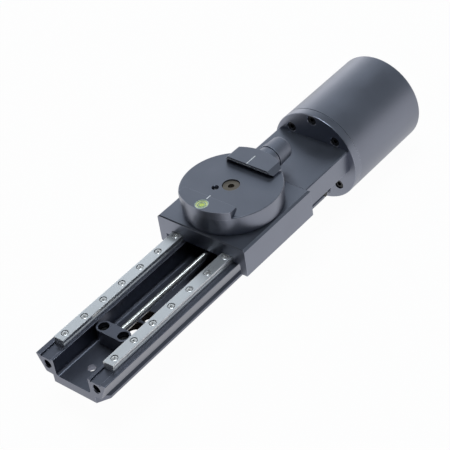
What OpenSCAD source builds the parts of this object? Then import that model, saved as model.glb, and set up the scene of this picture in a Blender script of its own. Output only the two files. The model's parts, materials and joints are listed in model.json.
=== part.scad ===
// Motorised focusing rack: a guided carriage on a channel profile, moved by a lead screw.
// X runs along the rails toward the motor, Y to the left, Z up.
// Origin: middle of the flat underside of the base profile. Millimetres.

/* [Base profile] */
// Length of the channel profile
base_len = 206; // [190:1:230]
// Half width across the top ledges
top_half = 24.6; // [24.2:0.1:25.4]
// Height of the top ledges over the underside
ledge_z = 16.4; // [16.1:0.1:16.8]
// Depth of the rail seat below the ledge
seat_depth = 0.8; // [0.4:0.1:1.2]
// Half width of the channel between the legs
channel_half = 12.2; // [12:0.1:12.8]
// Thickness of the floor under the channel
floor_z = 5.7; // [5.2:0.1:5.8]
// Radius between channel wall and floor
channel_fillet = 2; // [0.5:0.1:2.4]
// Half width at the foot of the slanted outer wall
wall_foot_half = 19.8; // [18.6:0.1:21]
// Half width of the waist above the dovetail
waist_half = 15.7; // [15:0.1:16.5]
// Height of the waist over the underside
waist_z = 4.9; // [4.5:0.1:5.2]
// Full width of the dovetail foot
foot_w = 38; // [37:0.1:39]
// Height of the foot's upright flank
flank_z = 1.6; // [1:0.1:2.2]
// Length of the bevel across each corner of the foot
foot_bevel_len = 7; // [3:0.5:12]
// Depth of that bevel
foot_bevel_deep = 4.2; // [2:0.1:6]
// Height at which the legs are cut away for the housing
leg_cut_z = 10.1; // [9.8:0.1:10.6]
// Diameter of the bores in the leg ends
leg_bore_d = 5; // [3:0.1:6]
// Depth of the bores in the leg ends
leg_bore_len = 12; // [6:0.5:20]
// Distance of the bores in the leg ends from the middle plane
leg_bore_y = 17.3; // [17:0.1:17.6]
// Height of the bores in the leg ends
leg_bore_z = 11.5; // [11:0.1:11.8]
// Diameter of the pin hole in the floor
pin_hole_d = 4.8; // [3:0.1:6]
// Distance of the pin hole from the free end
pin_hole_in = 14; // [10:0.5:18]
// Diameter of the larger tripod socket
socket_big_d = 9.5; // [8:0.05:10]
// Distance of the larger tripod socket from the free end
socket_big_in = 47.5; // [46:0.5:48]
// Wall of the larger socket's bush with its fit
bush_big_wall = 1.25; // [0.8:0.05:1.5]
// Diameter of the smaller tripod socket
socket_small_d = 6.3; // [5:0.05:7]
// Distance of the smaller tripod socket from the free end
socket_small_in = 59; // [58.5:0.5:64]
// Wall of the smaller socket's bush with its fit
bush_small_wall = 1.2; // [0.8:0.05:1.5]

/* [Guide rails] */
// Distance between the rail centre lines
rail_gauge = 35; // [34.6:0.1:35.4]
// Width of one rail
rail_w = 7; // [6.6:0.05:7.2]
// Height of one rail
rail_h = 4.8; // [4.5:0.1:5]
// Distance of the rails from the profile's free end
rail_in = 11; // [9:0.5:14]
// Pitch of the rail screws
rail_pitch = 15; // [12:0.5:20]
// Least distance from the rail end to its first screw
rail_end = 5; // [3:0.1:6]
// Diameter of the rail counterbore
rail_cbore_d = 4.2; // [4:0.1:4.6]
// Depth of the rail counterbore
rail_cbore_deep = 2.3; // [2.2:0.1:2.6]
// Height of the ball groove over the rail's foot
groove_z = 2.55; // [2.3:0.05:2.8]
// Depth of the ball groove
groove_deep = 0.45; // [0.3:0.05:0.6]

/* [Lead screw] */
// Height of the screw axis over the underside
axis_z = 11.6; // [11.4:0.1:11.8]
// Outer diameter of the lead screw
screw_d = 4; // [3.6:0.05:4]
// Diameter of the near journal
journal_d = 3; // [2.6:0.05:3]
// Radial running clearance of shafts
run_clear = 0.04; // [0.02:0.01:0.08]
// Outer diameter of the rear ball bearing
rear_brg_d = 10; // [9:0.5:11]
// Width of the rear ball bearing
rear_brg_w = 4; // [3:0.1:4.4]
// Outer diameter of the near ball bearing
near_brg_d = 6; // [5.5:0.1:6.4]
// Width of the near ball bearing
near_brg_w = 2.5; // [2:0.1:3]
// Radius of the nut's barrel
nut_r = 4.5; // [3.8:0.1:4.8]
// Thickness of the nut's flange
nut_flange = 2.5; // [1.5:0.1:3]
// Length of the nut's barrel behind its bracket
nut_tail = 2; // [1:0.1:3]
// Half spacing of the nut's screws
nut_bolt_y = 6.7; // [6.6:0.1:6.9]
// Length of the nut's bracket along the rail
brk_len = 12; // [9:0.5:13]
// Half width of the nut's bracket
brk_half = 8.6; // [8.6:0.1:8.9]
// Height of the bracket's lower face
brk_z0 = 6.3; // [6:0.1:6.8]

/* [Bearing block] */
// Distance of the bearing block's middle from the free end
block_in = 33.6; // [28:0.1:36]
// Width of the bearing block along the rail
block_w = 8.4; // [7.6:0.1:9.6]
// Half spacing of its screws
block_bolt_y = 6.9; // [6.8:0.1:7.2]
// Diameter of its counterbores
block_cbore_d = 6.2; // [5.8:0.1:6.6]
// Height of the counterbores' floor
block_cbore_z = 9.7; // [9.2:0.1:10.2]
// Height of its top over the underside
block_top = 16.1; // [15.4:0.1:16.6]

/* [Guide blocks] */
// Length of one guide block with its end caps
guide_len = 22.5; // [20:0.5:23]
// Length of its steel body
guide_body = 13.5; // [11:0.5:15]
// Width of one guide block
guide_w = 17; // [16.4:0.1:17.4]
// Distance of a guide block's middle from the carriage's end
guide_in = 13.75; // [13.5:0.25:15]
// Height of the guide block's lower face over the rail seat
guide_lift = 1.5; // [1.2:0.1:1.8]
// Half spacing of the block's screws along the rail
guide_bolt_x = 4; // [3.5:0.1:4.4]
// Half spacing of the block's screws across the rail
guide_bolt_y = 6; // [5.6:0.1:6.4]

/* [Carriage] */
// Gap between the parked carriage and the coupling housing
park_gap = 3.75; // [2:0.25:8]
// Length of the carriage
car_len = 60; // [59:0.5:64]
// Width of the carriage
car_w = 61.6; // [60:0.1:64]
// Half distance between its side walls
car_in_half = 26.3; // [26.1:0.1:27.5]
// Height of its underside plate over the rail seat
guide_h = 8; // [7.6:0.1:8.4]
// Height of its top face over the underside of the base
car_top = 28.75; // [28.3:0.05:29]
// Height of the lower edge of its side walls
skirt_z = 10.5; // [9:0.1:12]
// Edge chamfer of the carriage
car_cham = 1.2; // [0.6:0.1:1.6]
// Height of the end walls' lower edge over the ledges
end_wall_lift = 0.9; // [0.5:0.1:1.5]
// Gap between the end walls and the rails
end_wall_gap = 0.4; // [0.2:0.05:0.8]
// Gap between the end walls and the guide blocks
end_wall_room = 0.5; // [0.3:0.1:1.2]

/* [Quick release clamp] */
// Radius of the disc at its floor
disc_r = 29.3; // [28.8:0.1:29.8]
// Radius of the disc at its foot
disc_foot_r = 28.7; // [28.4:0.1:29]
// Height of the disc floor
disc_floor = 41.1; // [40.9:0.1:41.5]
// Height of the jaw tops
jaw_top = 45.15; // [44.8:0.05:45.6]
// Half width of the fixed jaw
fixed_half = 18.2; // [16:0.1:20]
// Distance of the fixed jaw edge from the disc centre
fixed_edge = 17.45; // [16:0.05:19]
// Distance of the moving jaw edge from the disc centre
moving_edge = 15.25; // [15:0.05:15.8]
// Undercut depth of both jaws
undercut = 2.5; // [1.5:0.05:3]
// Sliding clearance of the moving jaw
jaw_clear = 0.05; // [0.03:0.01:0.08]
// Half width of the moving jaw at its foot
moving_half = 16.8; // [15:0.1:18]
// Half width of the moving jaw at its top
moving_top_half = 14; // [12:0.1:15]
// Height at which the moving jaw's sides start to slant
moving_flare = 1.2; // [0.6:0.1:2]
// Half width of the moving jaw's tongue
tongue_half = 10; // [9.4:0.1:10.6]
// Distance of the tongue's pocket from the disc centre
pocket_in = 17; // [16:0.1:17.2]
// Height of the pocket's floor
pocket_z0 = 31; // [30.4:0.1:31.2]
// Height of the clamp spindle axis
knob_z = 36.6; // [36.4:0.1:37]
// Radius of the clamp knob at its seam
knob_r = 7.6; // [7.2:0.1:7.8]
// Radius of the clamp knob at its free end
knob_tip_r = 6.9; // [6.4:0.1:7.2]
// Distance of the knob's free end from the disc centre
knob_x1 = 46.75; // [45.5:0.25:50]
// Outer edge rounding of the knob
knob_round = 1.5; // [0.8:0.1:2]
// Radius of the fixed collar in front of the knob
collar_r = 7.2; // [6.8:0.1:7.2]
// Distance of the collar's seat from the disc centre
collar_x0 = 28.4; // [28:0.1:29]
// Distance of the collar's end from the disc centre
collar_x1 = 34.75; // [33:0.25:36]
// Diameter of the clamp spindle
spindle_d = 5; // [4:0.1:5.4]
// Diameter of the guide pins
pin_d = 2.5; // [2:0.1:2.8]
// Half spacing of the guide pins
pin_y = 7.2; // [7:0.1:7.6]
// Height of the guide pins
pin_z = 35.5; // [34:0.1:36.5]
// Diameter of the bubble level
bubble_d = 7.8; // [7:0.1:7.8]
// Depth of the bubble level
vial_depth = 3.8; // [3:0.1:4]
// Distance of the bubble level from the disc centre
bubble_in = 24.8; // [24.6:0.1:24.9]
// Distance of the lock pin from both centre planes
lock_in = 6.2; // [6.2:0.1:7]
// Distance of the dowel from the disc centre
dowel_in = 14; // [10:0.5:20]

/* [Home switch] */
// Distance of the switch from the coupling housing
switch_in = 16.1; // [15.6:0.1:18]
// Half length of the switch
switch_half = 6.4; // [6:0.1:7]
// Distance of the switch's middle from the middle plane
switch_y = 6.3; // [6.1:0.1:6.5]
// Width of the switch
switch_w = 5.8; // [5:0.1:6]
// Height of the switch's top over the underside
switch_top = 12.2; // [11.5:0.1:13]

/* [Coupling housing] */
// How far the housing reaches over the profile from its motor end
neck_in = 34.5; // [30:0.5:40]
// Height of the housing top
neck_top = 23.8; // [23:0.1:24.6]
// Thickness of its bearing wall
neck_wall = 8; // [7:0.1:9]
// Height of its inner roof
neck_roof = 19.4; // [18.4:0.1:20.4]
// Distance of the foot screws from the middle plane
foot_bolt_y = 15.5; // [15.3:0.1:15.7]
// Distance of the face screws from the middle plane
face_bolt_y = 18.4; // [17.6:0.1:19]
// Diameter of the shaft coupling
coupling_d = 11; // [10:0.1:11.4]
// Length of the shaft coupling
coupling_len = 20; // [18:0.5:22]

/* [Motor and can] */
// Distance between the profile's end and the can
can_gap = 6; // [4:0.5:12]
// Radius of the can
can_r = 29; // [28.6:0.1:30]
// Thickness of the front plate
plate_t = 5.2; // [5:0.1:6]
// Length of the can shell behind the plate
shell_len = 62.2; // [60:0.1:70]
// Wall thickness of the shell
shell_t = 1.6; // [1:0.1:1.8]
// Thickness of the shell end wall
shell_end = 3; // [2:0.1:4]
// Outer edge rounding of the shell
shell_round = 1.5; // [0.8:0.1:1.8]
// Side of the square motor body
motor_w = 42.3; // [41.5:0.05:42.3]
// Spacing of the motor screws
motor_bolt = 31; // [30.6:0.1:31.4]
// Length of the motor body
motor_len = 40; // [38:0.1:42]
// Length of each end bell
bell_len = 9; // [7:0.5:10]
// Radius of the rotor
rotor_r = 13; // [11:0.1:15]
// Diameter of the motor shaft
shaft_d = 5; // [4:0.1:5]
// Radius of the control board
board_r = 22; // [20:0.5:24]
// Radius of the control socket's body
socket_r = 6.1; // [5.5:0.1:6.6]
// Distance of the control socket below the axis
socket_drop = 12; // [10:0.5:14]

/* [Display] */
// Name of the single piece to show, or all

/* [Hidden] */
$fn = 64;
// Overlaps and cutters: a small overlap, a cutter's overrun and one that clears the whole clamp.
eps = 0.05;
over = 1;
reach = 40;
// Fits: a hair, a push fit, a tapped bore's play and clearance holes.
hair = 0.01;
push = 0.02;
gap = 0.03;
m2_play = 0.1;
m3_play = 0.15;
m6_play = 0.2;
// Edge breaks.
fine = 0.2;
soft = 0.3;
broad = 0.4;
// Screws: shank radius, head radius, head height and key of each size.
m2_r = 1;
m2_head_r = 1.9;
m2_head_h = 2;
m2_key = 1.5;
m3_r = 1.5;
m3_head_r = 2.75;
m3_head_h = 3;
m3_key = 2.5;
m4_r = 2;
m4_head_r = 3.5;
m4_head_h = 4.1;
m4_key = 3;
m6_r = 3;
m6_head_r = 4.8;
m6_head_h = 4;
m6_key = 3.5;
small_head_r = 1.75;
low_head_h = 1.4;
thin_head_r = 1.7;
thin_head_h = 1.3;
grub_r = 1.25;
socket_share = 0.55;
hex_ratio = 1.155;
// Base profile.
xe = base_len / 2;
seat_z = ledge_z - seat_depth;
foot_half = foot_w / 2;
neck_x0 = xe - neck_in;
big_x = socket_big_in - xe;
small_x = socket_small_in - xe;
pin_hole_x = pin_hole_in - xe;
foot_screw_xs = [neck_x0 + 7.5, xe - 11];
foot_cbore_r = 3.8;
foot_cbore_deep = 4.4;
relief_w = 0.7;
relief_deep = 0.5;
seat_play = 0.15;
tap_floor = 1.2;
bush_inset = 0.2;
// Guide rails.
rail_top = seat_z + rail_h;
rail_y = rail_gauge / 2;
rail_x0 = rail_in - xe;
rail_len = neck_x0 - 0.5 - rail_x0;
rail_holes = floor((rail_len - 2 * rail_end) / rail_pitch + 0.001) + 1;
rail_s0 = rail_x0 + (rail_len - (rail_holes - 1) * rail_pitch) / 2;
rail_sink = 0.3;
rail_tap = 4;
groove_half = 0.65;
groove_flat = 0.2;
// Bearing block.
block_x = block_in - xe;
block_x0 = block_x - block_w / 2;
block_x1 = block_x + block_w / 2;
block_foot_half = 9.6;
block_end_half = 11.3;
block_flare_z = 7.8;
journal_play = 0.4;
journal_tail = 0.6;
shoulder = 0.25;
// Carriage, guides and nut.
car_x = neck_x0 - park_gap - car_len / 2;
car_x0 = car_x - car_len / 2;
car_x1 = car_x + car_len / 2;
plate_z = seat_z + guide_h;
guide_z0 = seat_z + guide_lift;
guide_off = car_len / 2 - guide_in;
guide_xs = [-guide_off, guide_off];
guide_clear = 0.05;
guide_air = 0.12;
guide_tap = 2.6;
guide_cbore_r = 2.1;
guide_cbore_deep = 2.4;
end_wall_t = guide_in - guide_len / 2 - end_wall_room;
end_wall_z = ledge_z + end_wall_lift;
brk_x0 = car_x - brk_len / 2;
brk_x1 = car_x + brk_len / 2;
brk_bolt_x = 3.25;
brk_bolt_y = 5.8;
brk_tap = 6.5;
brk_cbore_r = 2.9;
brk_cbore_deep = 3.1;
nut_rise = 5.2;
nut_reach = 5;
dowel_r = 1.5;
dowel_down = 3;
dowel_up = 3.2;
// Quick release clamp.
tongue_in = pocket_in + 1.1;
knob_x0 = collar_x1 + 0.15;
spindle_x0 = 6.3;
spindle_x1 = 44;
spindle_play = 0.4;
ring_x0 = pocket_in + 0.2;
ring_w = 0.8;
ring_r = 3.9;
ring_deep = 0.4;
pin_x0 = 8.1;
pin_x1 = 26;
pin_room = 1.2;
centre_sink = 0.8;
centre_head_play = 0.3;
head_z = disc_floor - centre_sink - m6_head_h;
lock_r = 1.6;
lock_cbore_r = 2.1;
lock_cbore_z = 38;
lock_z0 = 31;
lock_sink = 1.2;
vial_wall = 0.5;
vial_floor = 0.8;
vial_lid = 0.7;
// Home switch.
switch_x = neck_x0 - switch_in;
switch_bolt_x = 4.8;
switch_tap_floor = 1.5;
lever_z0 = 9.2;
lever_z1 = 10.6;
lever_y0 = -7.1;
lever_y1 = -5.5;
// Coupling housing.
neck_x1 = xe + can_gap;
neck_edge = 0.6;
key_foot_half = 9.5;
key_half = 12.1;
key_flare_z = 8.5;
shaft_hole_r = 3.2;
retainer_t = 1.2;
retainer_half = 9;
retainer_z0 = 7;
retainer_z1 = 16.2;
retainer_bolt_y = 7;
foot_tap_z = 19.5;
face_bolt_zs = [14.5, 20.5];
face_tap = 9;
face_cbore_r = 2.9;
face_cbore_deep = 2.4;
face_head_h = 2.2;
face_reach = 10.5;
face_key = 2;
// Shaft coupling.
coup_x0 = neck_x0 + 9.5;
coup_x1 = coup_x0 + coupling_len;
coup_mid = coup_x0 + 11;
grub_in = 3.5;
grub_top = coupling_d / 2 - 0.4;
screw_x0 = block_x - journal_tail;
screw_x1 = coup_mid - 2;
shaft_x0 = coup_mid + 1.2;
// Motor and can.
can_x0 = neck_x1;
plate_x1 = can_x0 + plate_t;
shell_x1 = plate_x1 + shell_len;
plate_edge = 0.5;
plate_bore_r = 4;
plate_cbore_r = 3;
plate_cbore_deep = 3.6;
pilot_r = 11;
pilot_h = 2;
boss_r = can_r - 3.8;
boss_post_r = 3.1;
boss_post_len = 12;
motor_tap = 5;
can_tap = 9;
bell_cut = 4.4;
bell_wall = 4;
bell_bore_r = 17;
stator_cut = 5.2;
stator_in = 0.3;
rotor_air = 0.3;
rotor_len = 21;
rear_room = shell_len - shell_end - motor_len;
rear_share = 0.3125;
post_h = rear_room * rear_share;
post_half = 12.4;
post_r = 2.5;
stud_r = 1.45;
stud_len = 3;
board_t = 1.6;
board_hole_r = 1.5;
socket_in = rear_room * rear_share;
socket_z = axis_z - socket_drop;
socket_flange_r = 8;
socket_flange_t = 2;
socket_sink = 0.4;
socket_mouth = 1.2;
socket_mouth_r = 5;
contact_r = 0.7;
contact_bore_r = 0.4;
contact_ring_r = 2.9;
contact_count = 6;
// Colours.
alu = [0.33, 0.35, 0.40];
steel = [0.75, 0.76, 0.78];
dark = [0.12, 0.12, 0.13];
brass = [0.78, 0.66, 0.36];
tan_steel = [0.5, 0.46, 0.42];
cast = [0.6, 0.6, 0.62];

// Extrudes a section drawn in Y and Z along X.
module along_x(x0, x1) {
    translate([x0, 0, 0]) rotate([90, 0, 90]) linear_extrude(x1 - x0) children();
}

// Extrudes a section drawn in X and Z along Y.
module along_y(y0, y1) {
    translate([0, y1, 0]) rotate([90, 0, 0]) linear_extrude(y1 - y0) children();
}

// Round bar along X.
module bar_x(x0, x1, r, y, z) {
    translate([x0, y, z]) rotate([0, 90, 0]) cylinder(h = x1 - x0, r = r);
}

// Round bar along Z.
module bar_z(z0, z1, r, x, y) {
    translate([x, y, z0]) cylinder(h = z1 - z0, r = r);
}

// Box from one corner to the opposite one.
module span(a, b) {
    translate(a) cube([b[0] - a[0], b[1] - a[1], b[2] - a[2]]);
}

// Hexagonal key hole along Z.
module key_z(z0, z1, key) {
    translate([0, 0, z0]) cylinder(h = z1 - z0, d = key * hex_ratio, $fn = 6);
}

// Socket head screw pointing down, head top at z.
module cap_screw_z(x, y, z, head_r, head_h, shank_r, tip_z, key) {
    difference() {
        union() {
            bar_z(z - head_h, z, head_r, x, y);
            bar_z(tip_z, z - head_h + eps, shank_r, x, y);
        }
        translate([x, y, z]) key_z(-head_h * socket_share, head_h * (1 - socket_share), key);
    }
}

// Socket head screw pointing toward the motor, head end at x.
module cap_screw_x(x, y, z, head_r, head_h, shank_r, tip_x, key) {
    difference() {
        union() {
            bar_x(x, x + head_h, head_r, y, z);
            bar_x(x + head_h - eps, tip_x, shank_r, y, z);
        }
        translate([x, y, z]) rotate([0, 90, 0])
            key_z(-head_h * (1 - socket_share), head_h * socket_share, key);
    }
}

// Channel between the legs of the base.
module channel_2d() {
    f = channel_fillet;
    high = ledge_z + over;
    translate([-channel_half, floor_z + f]) square([2 * channel_half, high - floor_z - f]);
    translate([-channel_half + f, floor_z]) square([2 * (channel_half - f), high - floor_z]);
    for (s = [-1, 1]) translate([s * (channel_half - f), floor_z + f]) circle(r = f);
}

// Right half of the profile's outline, from the foot to the ledge.
flank_pts = [[foot_half - soft, 0], [foot_half, soft], [foot_half, flank_z],
    [waist_half, waist_z], [waist_half, waist_z + soft],
    [wall_foot_half - broad, waist_z + soft + fine], [wall_foot_half, waist_z + broad + 0.5],
    [top_half, ledge_z - soft], [top_half - soft, ledge_z]];

module profile_2d() {
    n = len(flank_pts);
    difference() {
        polygon([for (p = flank_pts) p, for (i = [1 : n]) [-flank_pts[n - i][0], flank_pts[n - i][1]]]);
        channel_2d();
        for (s = [-1, 1]) translate([s * rail_y, seat_z]) {
            half = rail_w / 2 + seat_play;
            translate([-half, 0]) square([2 * half, seat_depth + over]);
            translate([-half, -relief_deep]) square([relief_w, 2 * relief_deep]);
            translate([half - relief_w, -relief_deep]) square([relief_w, 2 * relief_deep]);
        }
    }
}

// What is cut from one corner of the foot, seen from above.
module foot_corner(e, s) {
    translate([e * xe, s * foot_half, -over]) linear_extrude(over + waist_z + soft)
        polygon([[2 * eps * e, -s * foot_bevel_deep], [2 * eps * e, s],
            [-e * foot_bevel_len, s], [-e * foot_bevel_len, 0]]);
}

module base_profile() {
    color(alu) difference() {
        along_x(-xe, xe) profile_2d();
        for (s = [-1, 1]) {
            for (i = [0 : rail_holes - 1])
                bar_z(seat_z - rail_tap, seat_z + over, m2_r + gap, rail_s0 + i * rail_pitch,
                    s * rail_y);
            bar_x(-xe - over, -xe + leg_bore_len, leg_bore_d / 2, s * leg_bore_y, leg_bore_z);
            translate([-xe - hair, s * leg_bore_y, leg_bore_z]) rotate([0, 90, 0])
                cylinder(h = 0.5, r1 = leg_bore_d / 2 + 0.5, r2 = leg_bore_d / 2);
            bar_z(tap_floor, floor_z + over, m3_r + gap, block_x, s * block_bolt_y);
            span([neck_x0 - 2 * eps, s > 0 ? channel_half - over : -top_half - over, leg_cut_z],
                [xe + over, s > 0 ? top_half + over : -channel_half + over, ledge_z + over]);
            for (e = [-1, 1]) foot_corner(e, s);
            for (x = foot_screw_xs) {
                bar_z(-over, foot_cbore_deep, foot_cbore_r, x, s * foot_bolt_y);
                bar_z(-over, leg_cut_z + over, m4_r + m3_play, x, s * foot_bolt_y);
            }
            bar_z(switch_tap_floor, floor_z + over, m2_r + gap, switch_x + s * switch_bolt_x,
                -switch_y);
        }
        bar_z(-over, floor_z + over, pin_hole_d / 2, pin_hole_x, 0);
        bar_z(-over, floor_z + over, socket_big_d / 2 + bush_big_wall, big_x, 0);
        bar_z(-over, floor_z + over, socket_small_d / 2 + bush_small_wall, small_x, 0);
    }
}

// Threaded steel bush pressed into the floor.
module bush(x, d, wall) {
    difference() {
        bar_z(bush_inset, floor_z - bush_inset, d / 2 + wall - gap, x, 0);
        bar_z(-over, floor_z + over, d / 2, x, 0);
    }
}

module tripod_bush_large() {
    color(steel) bush(big_x, socket_big_d, bush_big_wall);
}

module tripod_bush_small() {
    color(steel) bush(small_x, socket_small_d, bush_small_wall);
}

// Section of one rail, from its foot up.
module rail_2d() {
    h = rail_w / 2;
    g = h - groove_deep;
    right = [[h, 0], [h, groove_z - groove_half], [g, groove_z - groove_flat],
        [g, groove_z + groove_flat], [h, groove_z + groove_half], [h, rail_h - soft],
        [h - soft, rail_h]];
    n = len(right);
    polygon([for (p = right) p, for (i = [1 : n]) [-right[n - i][0], right[n - i][1]]]);
}

module rail(s) {
    color(steel) difference() {
        along_x(rail_x0, rail_x0 + rail_len) translate([s * rail_y, seat_z]) rail_2d();
        for (i = [0 : rail_holes - 1]) {
            x = rail_s0 + i * rail_pitch;
            bar_z(rail_top - rail_cbore_deep, rail_top + over, rail_cbore_d / 2, x, s * rail_y);
            bar_z(seat_z - over, rail_top, m2_r + fine, x, s * rail_y);
        }
    }
}

module rail_left() {
    rail(1);
}

module rail_right() {
    rail(-1);
}

module rail_screws(s) {
    color(steel) for (i = [0 : rail_holes - 1])
        cap_screw_z(rail_s0 + i * rail_pitch, s * rail_y, rail_top - rail_sink, m2_head_r,
            m2_head_h, m2_r, seat_z - rail_tap + soft, m2_key);
}

module rail_screws_left() {
    rail_screws(1);
}

module rail_screws_right() {
    rail_screws(-1);
}

module bearing_block() {
    r = block_w / 2;
    color(alu) difference() {
        intersection() {
            union() {
                for (s = [-1, 1]) bar_z(floor_z, block_top, r, block_x, s * block_bolt_y);
                span([block_x0, -block_bolt_y, floor_z], [block_x1, block_bolt_y, block_top]);
            }
            along_x(block_x0 - over, block_x1 + over)
                polygon([[-block_foot_half, floor_z], [block_foot_half, floor_z],
                    [block_end_half, block_flare_z], [block_end_half, block_top],
                    [-block_end_half, block_top], [-block_end_half, block_flare_z]]);
        }
        for (s = [-1, 1]) {
            bar_z(block_cbore_z, block_top + over, block_cbore_d / 2, block_x, s * block_bolt_y);
            bar_z(floor_z - over, block_cbore_z + soft, m3_r + m3_play, block_x,
                s * block_bolt_y);
        }
        bar_x(block_x1 - near_brg_w, block_x1 + over, near_brg_d / 2 + push, 0, axis_z);
        bar_x(block_x0 + near_brg_w + m2_play, block_x1, journal_d / 2 + journal_play, 0,
            axis_z);
    }
}

module block_screws() {
    color(dark) for (s = [-1, 1])
        cap_screw_z(block_x, s * block_bolt_y, block_cbore_z + m3_head_h, m3_head_r, m3_head_h,
            m3_r, tap_floor + 0.5, m3_key);
}

module near_bearing() {
    color(steel) difference() {
        bar_x(block_x1 - near_brg_w, block_x1, near_brg_d / 2, 0, axis_z);
        bar_x(block_x1 - near_brg_w - over, block_x1 + over, journal_d / 2 + run_clear / 2, 0,
            axis_z);
    }
}

module lead_screw() {
    color(steel) {
        bar_x(block_x1 + shoulder, screw_x1, screw_d / 2, 0, axis_z);
        bar_x(screw_x0, block_x1 + shoulder + eps, journal_d / 2 - run_clear / 2, 0, axis_z);
    }
}

module lead_nut() {
    flange_x0 = brk_x0 - nut_flange;
    color(brass) difference() {
        union() {
            bar_x(brk_x0 - nut_flange / 5, brk_x1 + nut_tail, nut_r, 0, axis_z);
            span([flange_x0, -brk_half, brk_z0 + 0.1], [brk_x0, brk_half, axis_z + nut_rise]);
        }
        bar_x(flange_x0 - over, brk_x1 + nut_tail + over, screw_d / 2 + run_clear + hair, 0,
            axis_z);
        for (s = [-1, 1])
            bar_x(flange_x0 - over, brk_x0 + over, m2_r + m2_play, s * nut_bolt_y, axis_z);
    }
}

module nut_screws() {
    x0 = brk_x0 - nut_flange;
    color(steel) for (s = [-1, 1])
        cap_screw_x(x0 - m2_head_h, s * nut_bolt_y, axis_z, small_head_r, m2_head_h, m2_r,
            brk_x0 + nut_reach, m2_key);
}

module nut_bracket() {
    color(alu) difference() {
        span([brk_x0, -brk_half, brk_z0], [brk_x1, brk_half, plate_z]);
        bar_x(brk_x0 - over, brk_x1 + over, nut_r + gap, 0, axis_z);
        for (s = [-1, 1]) {
            bar_x(brk_x0 - over, brk_x0 + nut_reach + over, m2_r + gap, s * nut_bolt_y, axis_z);
            bar_z(plate_z - brk_tap, plate_z + over, m3_r + gap, car_x - s * brk_bolt_x,
                s * brk_bolt_y);
        }
    }
}

module bracket_screws() {
    color(dark) for (s = [-1, 1])
        cap_screw_z(car_x - s * brk_bolt_x, s * brk_bolt_y,
            car_top - brk_cbore_deep + m3_head_h, m3_head_r, m3_head_h, m3_r,
            plate_z - brk_tap + 0.5, m3_key);
}

// Section of a ball guide that wraps one rail.
module guide_2d(half, z1) {
    h = rail_w / 2 + guide_clear;
    g = h - groove_deep - guide_clear + guide_air;
    z = seat_z + groove_z;
    wide = groove_half - guide_clear;
    right = [[h, rail_top + guide_air], [h, z + wide], [g, z + groove_flat],
        [g, z - groove_flat], [h, z - wide], [h, guide_z0], [half, guide_z0],
        [half, z1 - soft], [half - soft, z1]];
    n = len(right);
    polygon([for (p = right) p, for (i = [1 : n]) [-right[n - i][0], right[n - i][1]]]);
}

// One guide block's middle is gx from the carriage's middle, on the side s.
module guide_block(gx, s) {
    xc = car_x + gx;
    color(steel) difference() {
        along_x(xc - guide_body / 2, xc + guide_body / 2)
            translate([s * rail_y, 0]) guide_2d(guide_w / 2, plate_z);
        for (dx = [-guide_bolt_x, guide_bolt_x]) for (dy = [-guide_bolt_y, guide_bolt_y])
            bar_z(plate_z - guide_tap, plate_z + over, m2_r + gap, xc + dx, s * rail_y + dy);
    }
}

module guide_block_near_left() {
    guide_block(-guide_off, 1);
}

module guide_block_near_right() {
    guide_block(-guide_off, -1);
}

module guide_block_far_left() {
    guide_block(guide_off, 1);
}

module guide_block_far_right() {
    guide_block(guide_off, -1);
}

module guide_end_caps() {
    color(dark) for (gx = guide_xs) for (s = [-1, 1]) for (e = [-1, 1]) {
        a = car_x + gx + e * guide_body / 2;
        b = car_x + gx + e * guide_len / 2;
        along_x(min(a, b), max(a, b))
            translate([s * rail_y, 0]) guide_2d(guide_w / 2 - fine, plate_z - soft);
    }
}

// Guide screw positions that the clamp disc covers.
guide_pts = [for (gx = guide_xs) for (s = [-1, 1])
    for (dx = [-guide_bolt_x, guide_bolt_x]) for (dy = [-guide_bolt_y, guide_bolt_y])
        if (norm([gx + dx, s * rail_y + dy]) < disc_foot_r - m2_head_r)
            [car_x + gx + dx, s * rail_y + dy]];

module guide_screws() {
    color(dark) for (p = guide_pts)
        cap_screw_z(p[0], p[1], car_top - guide_cbore_deep + m2_head_h, m2_head_r, m2_head_h,
            m2_r, plate_z - guide_tap + fine, m2_key);
}

// Section of the carriage: a plate with two side walls.
module carriage_2d() {
    h = car_w / 2;
    c = car_cham;
    in = car_in_half;
    right = [[in, plate_z], [in, skirt_z + soft], [in + soft, skirt_z], [h - broad, skirt_z],
        [h, skirt_z + broad], [h, car_top - c], [h - c, car_top]];
    n = len(right);
    polygon([for (p = right) p, for (i = [1 : n]) [-right[n - i][0], right[n - i][1]]]);
}

// Section of an end wall, which closes the carriage down to the ledges and clears the rails.
module end_wall_2d() {
    half = rail_w / 2 + end_wall_gap;
    difference() {
        translate([-car_in_half - over, end_wall_z])
            square([2 * (car_in_half + over), plate_z + over - end_wall_z]);
        for (s = [-1, 1]) translate([s * rail_y - half, end_wall_z - over])
            square([2 * half, rail_top + end_wall_gap - end_wall_z + over]);
    }
}

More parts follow.
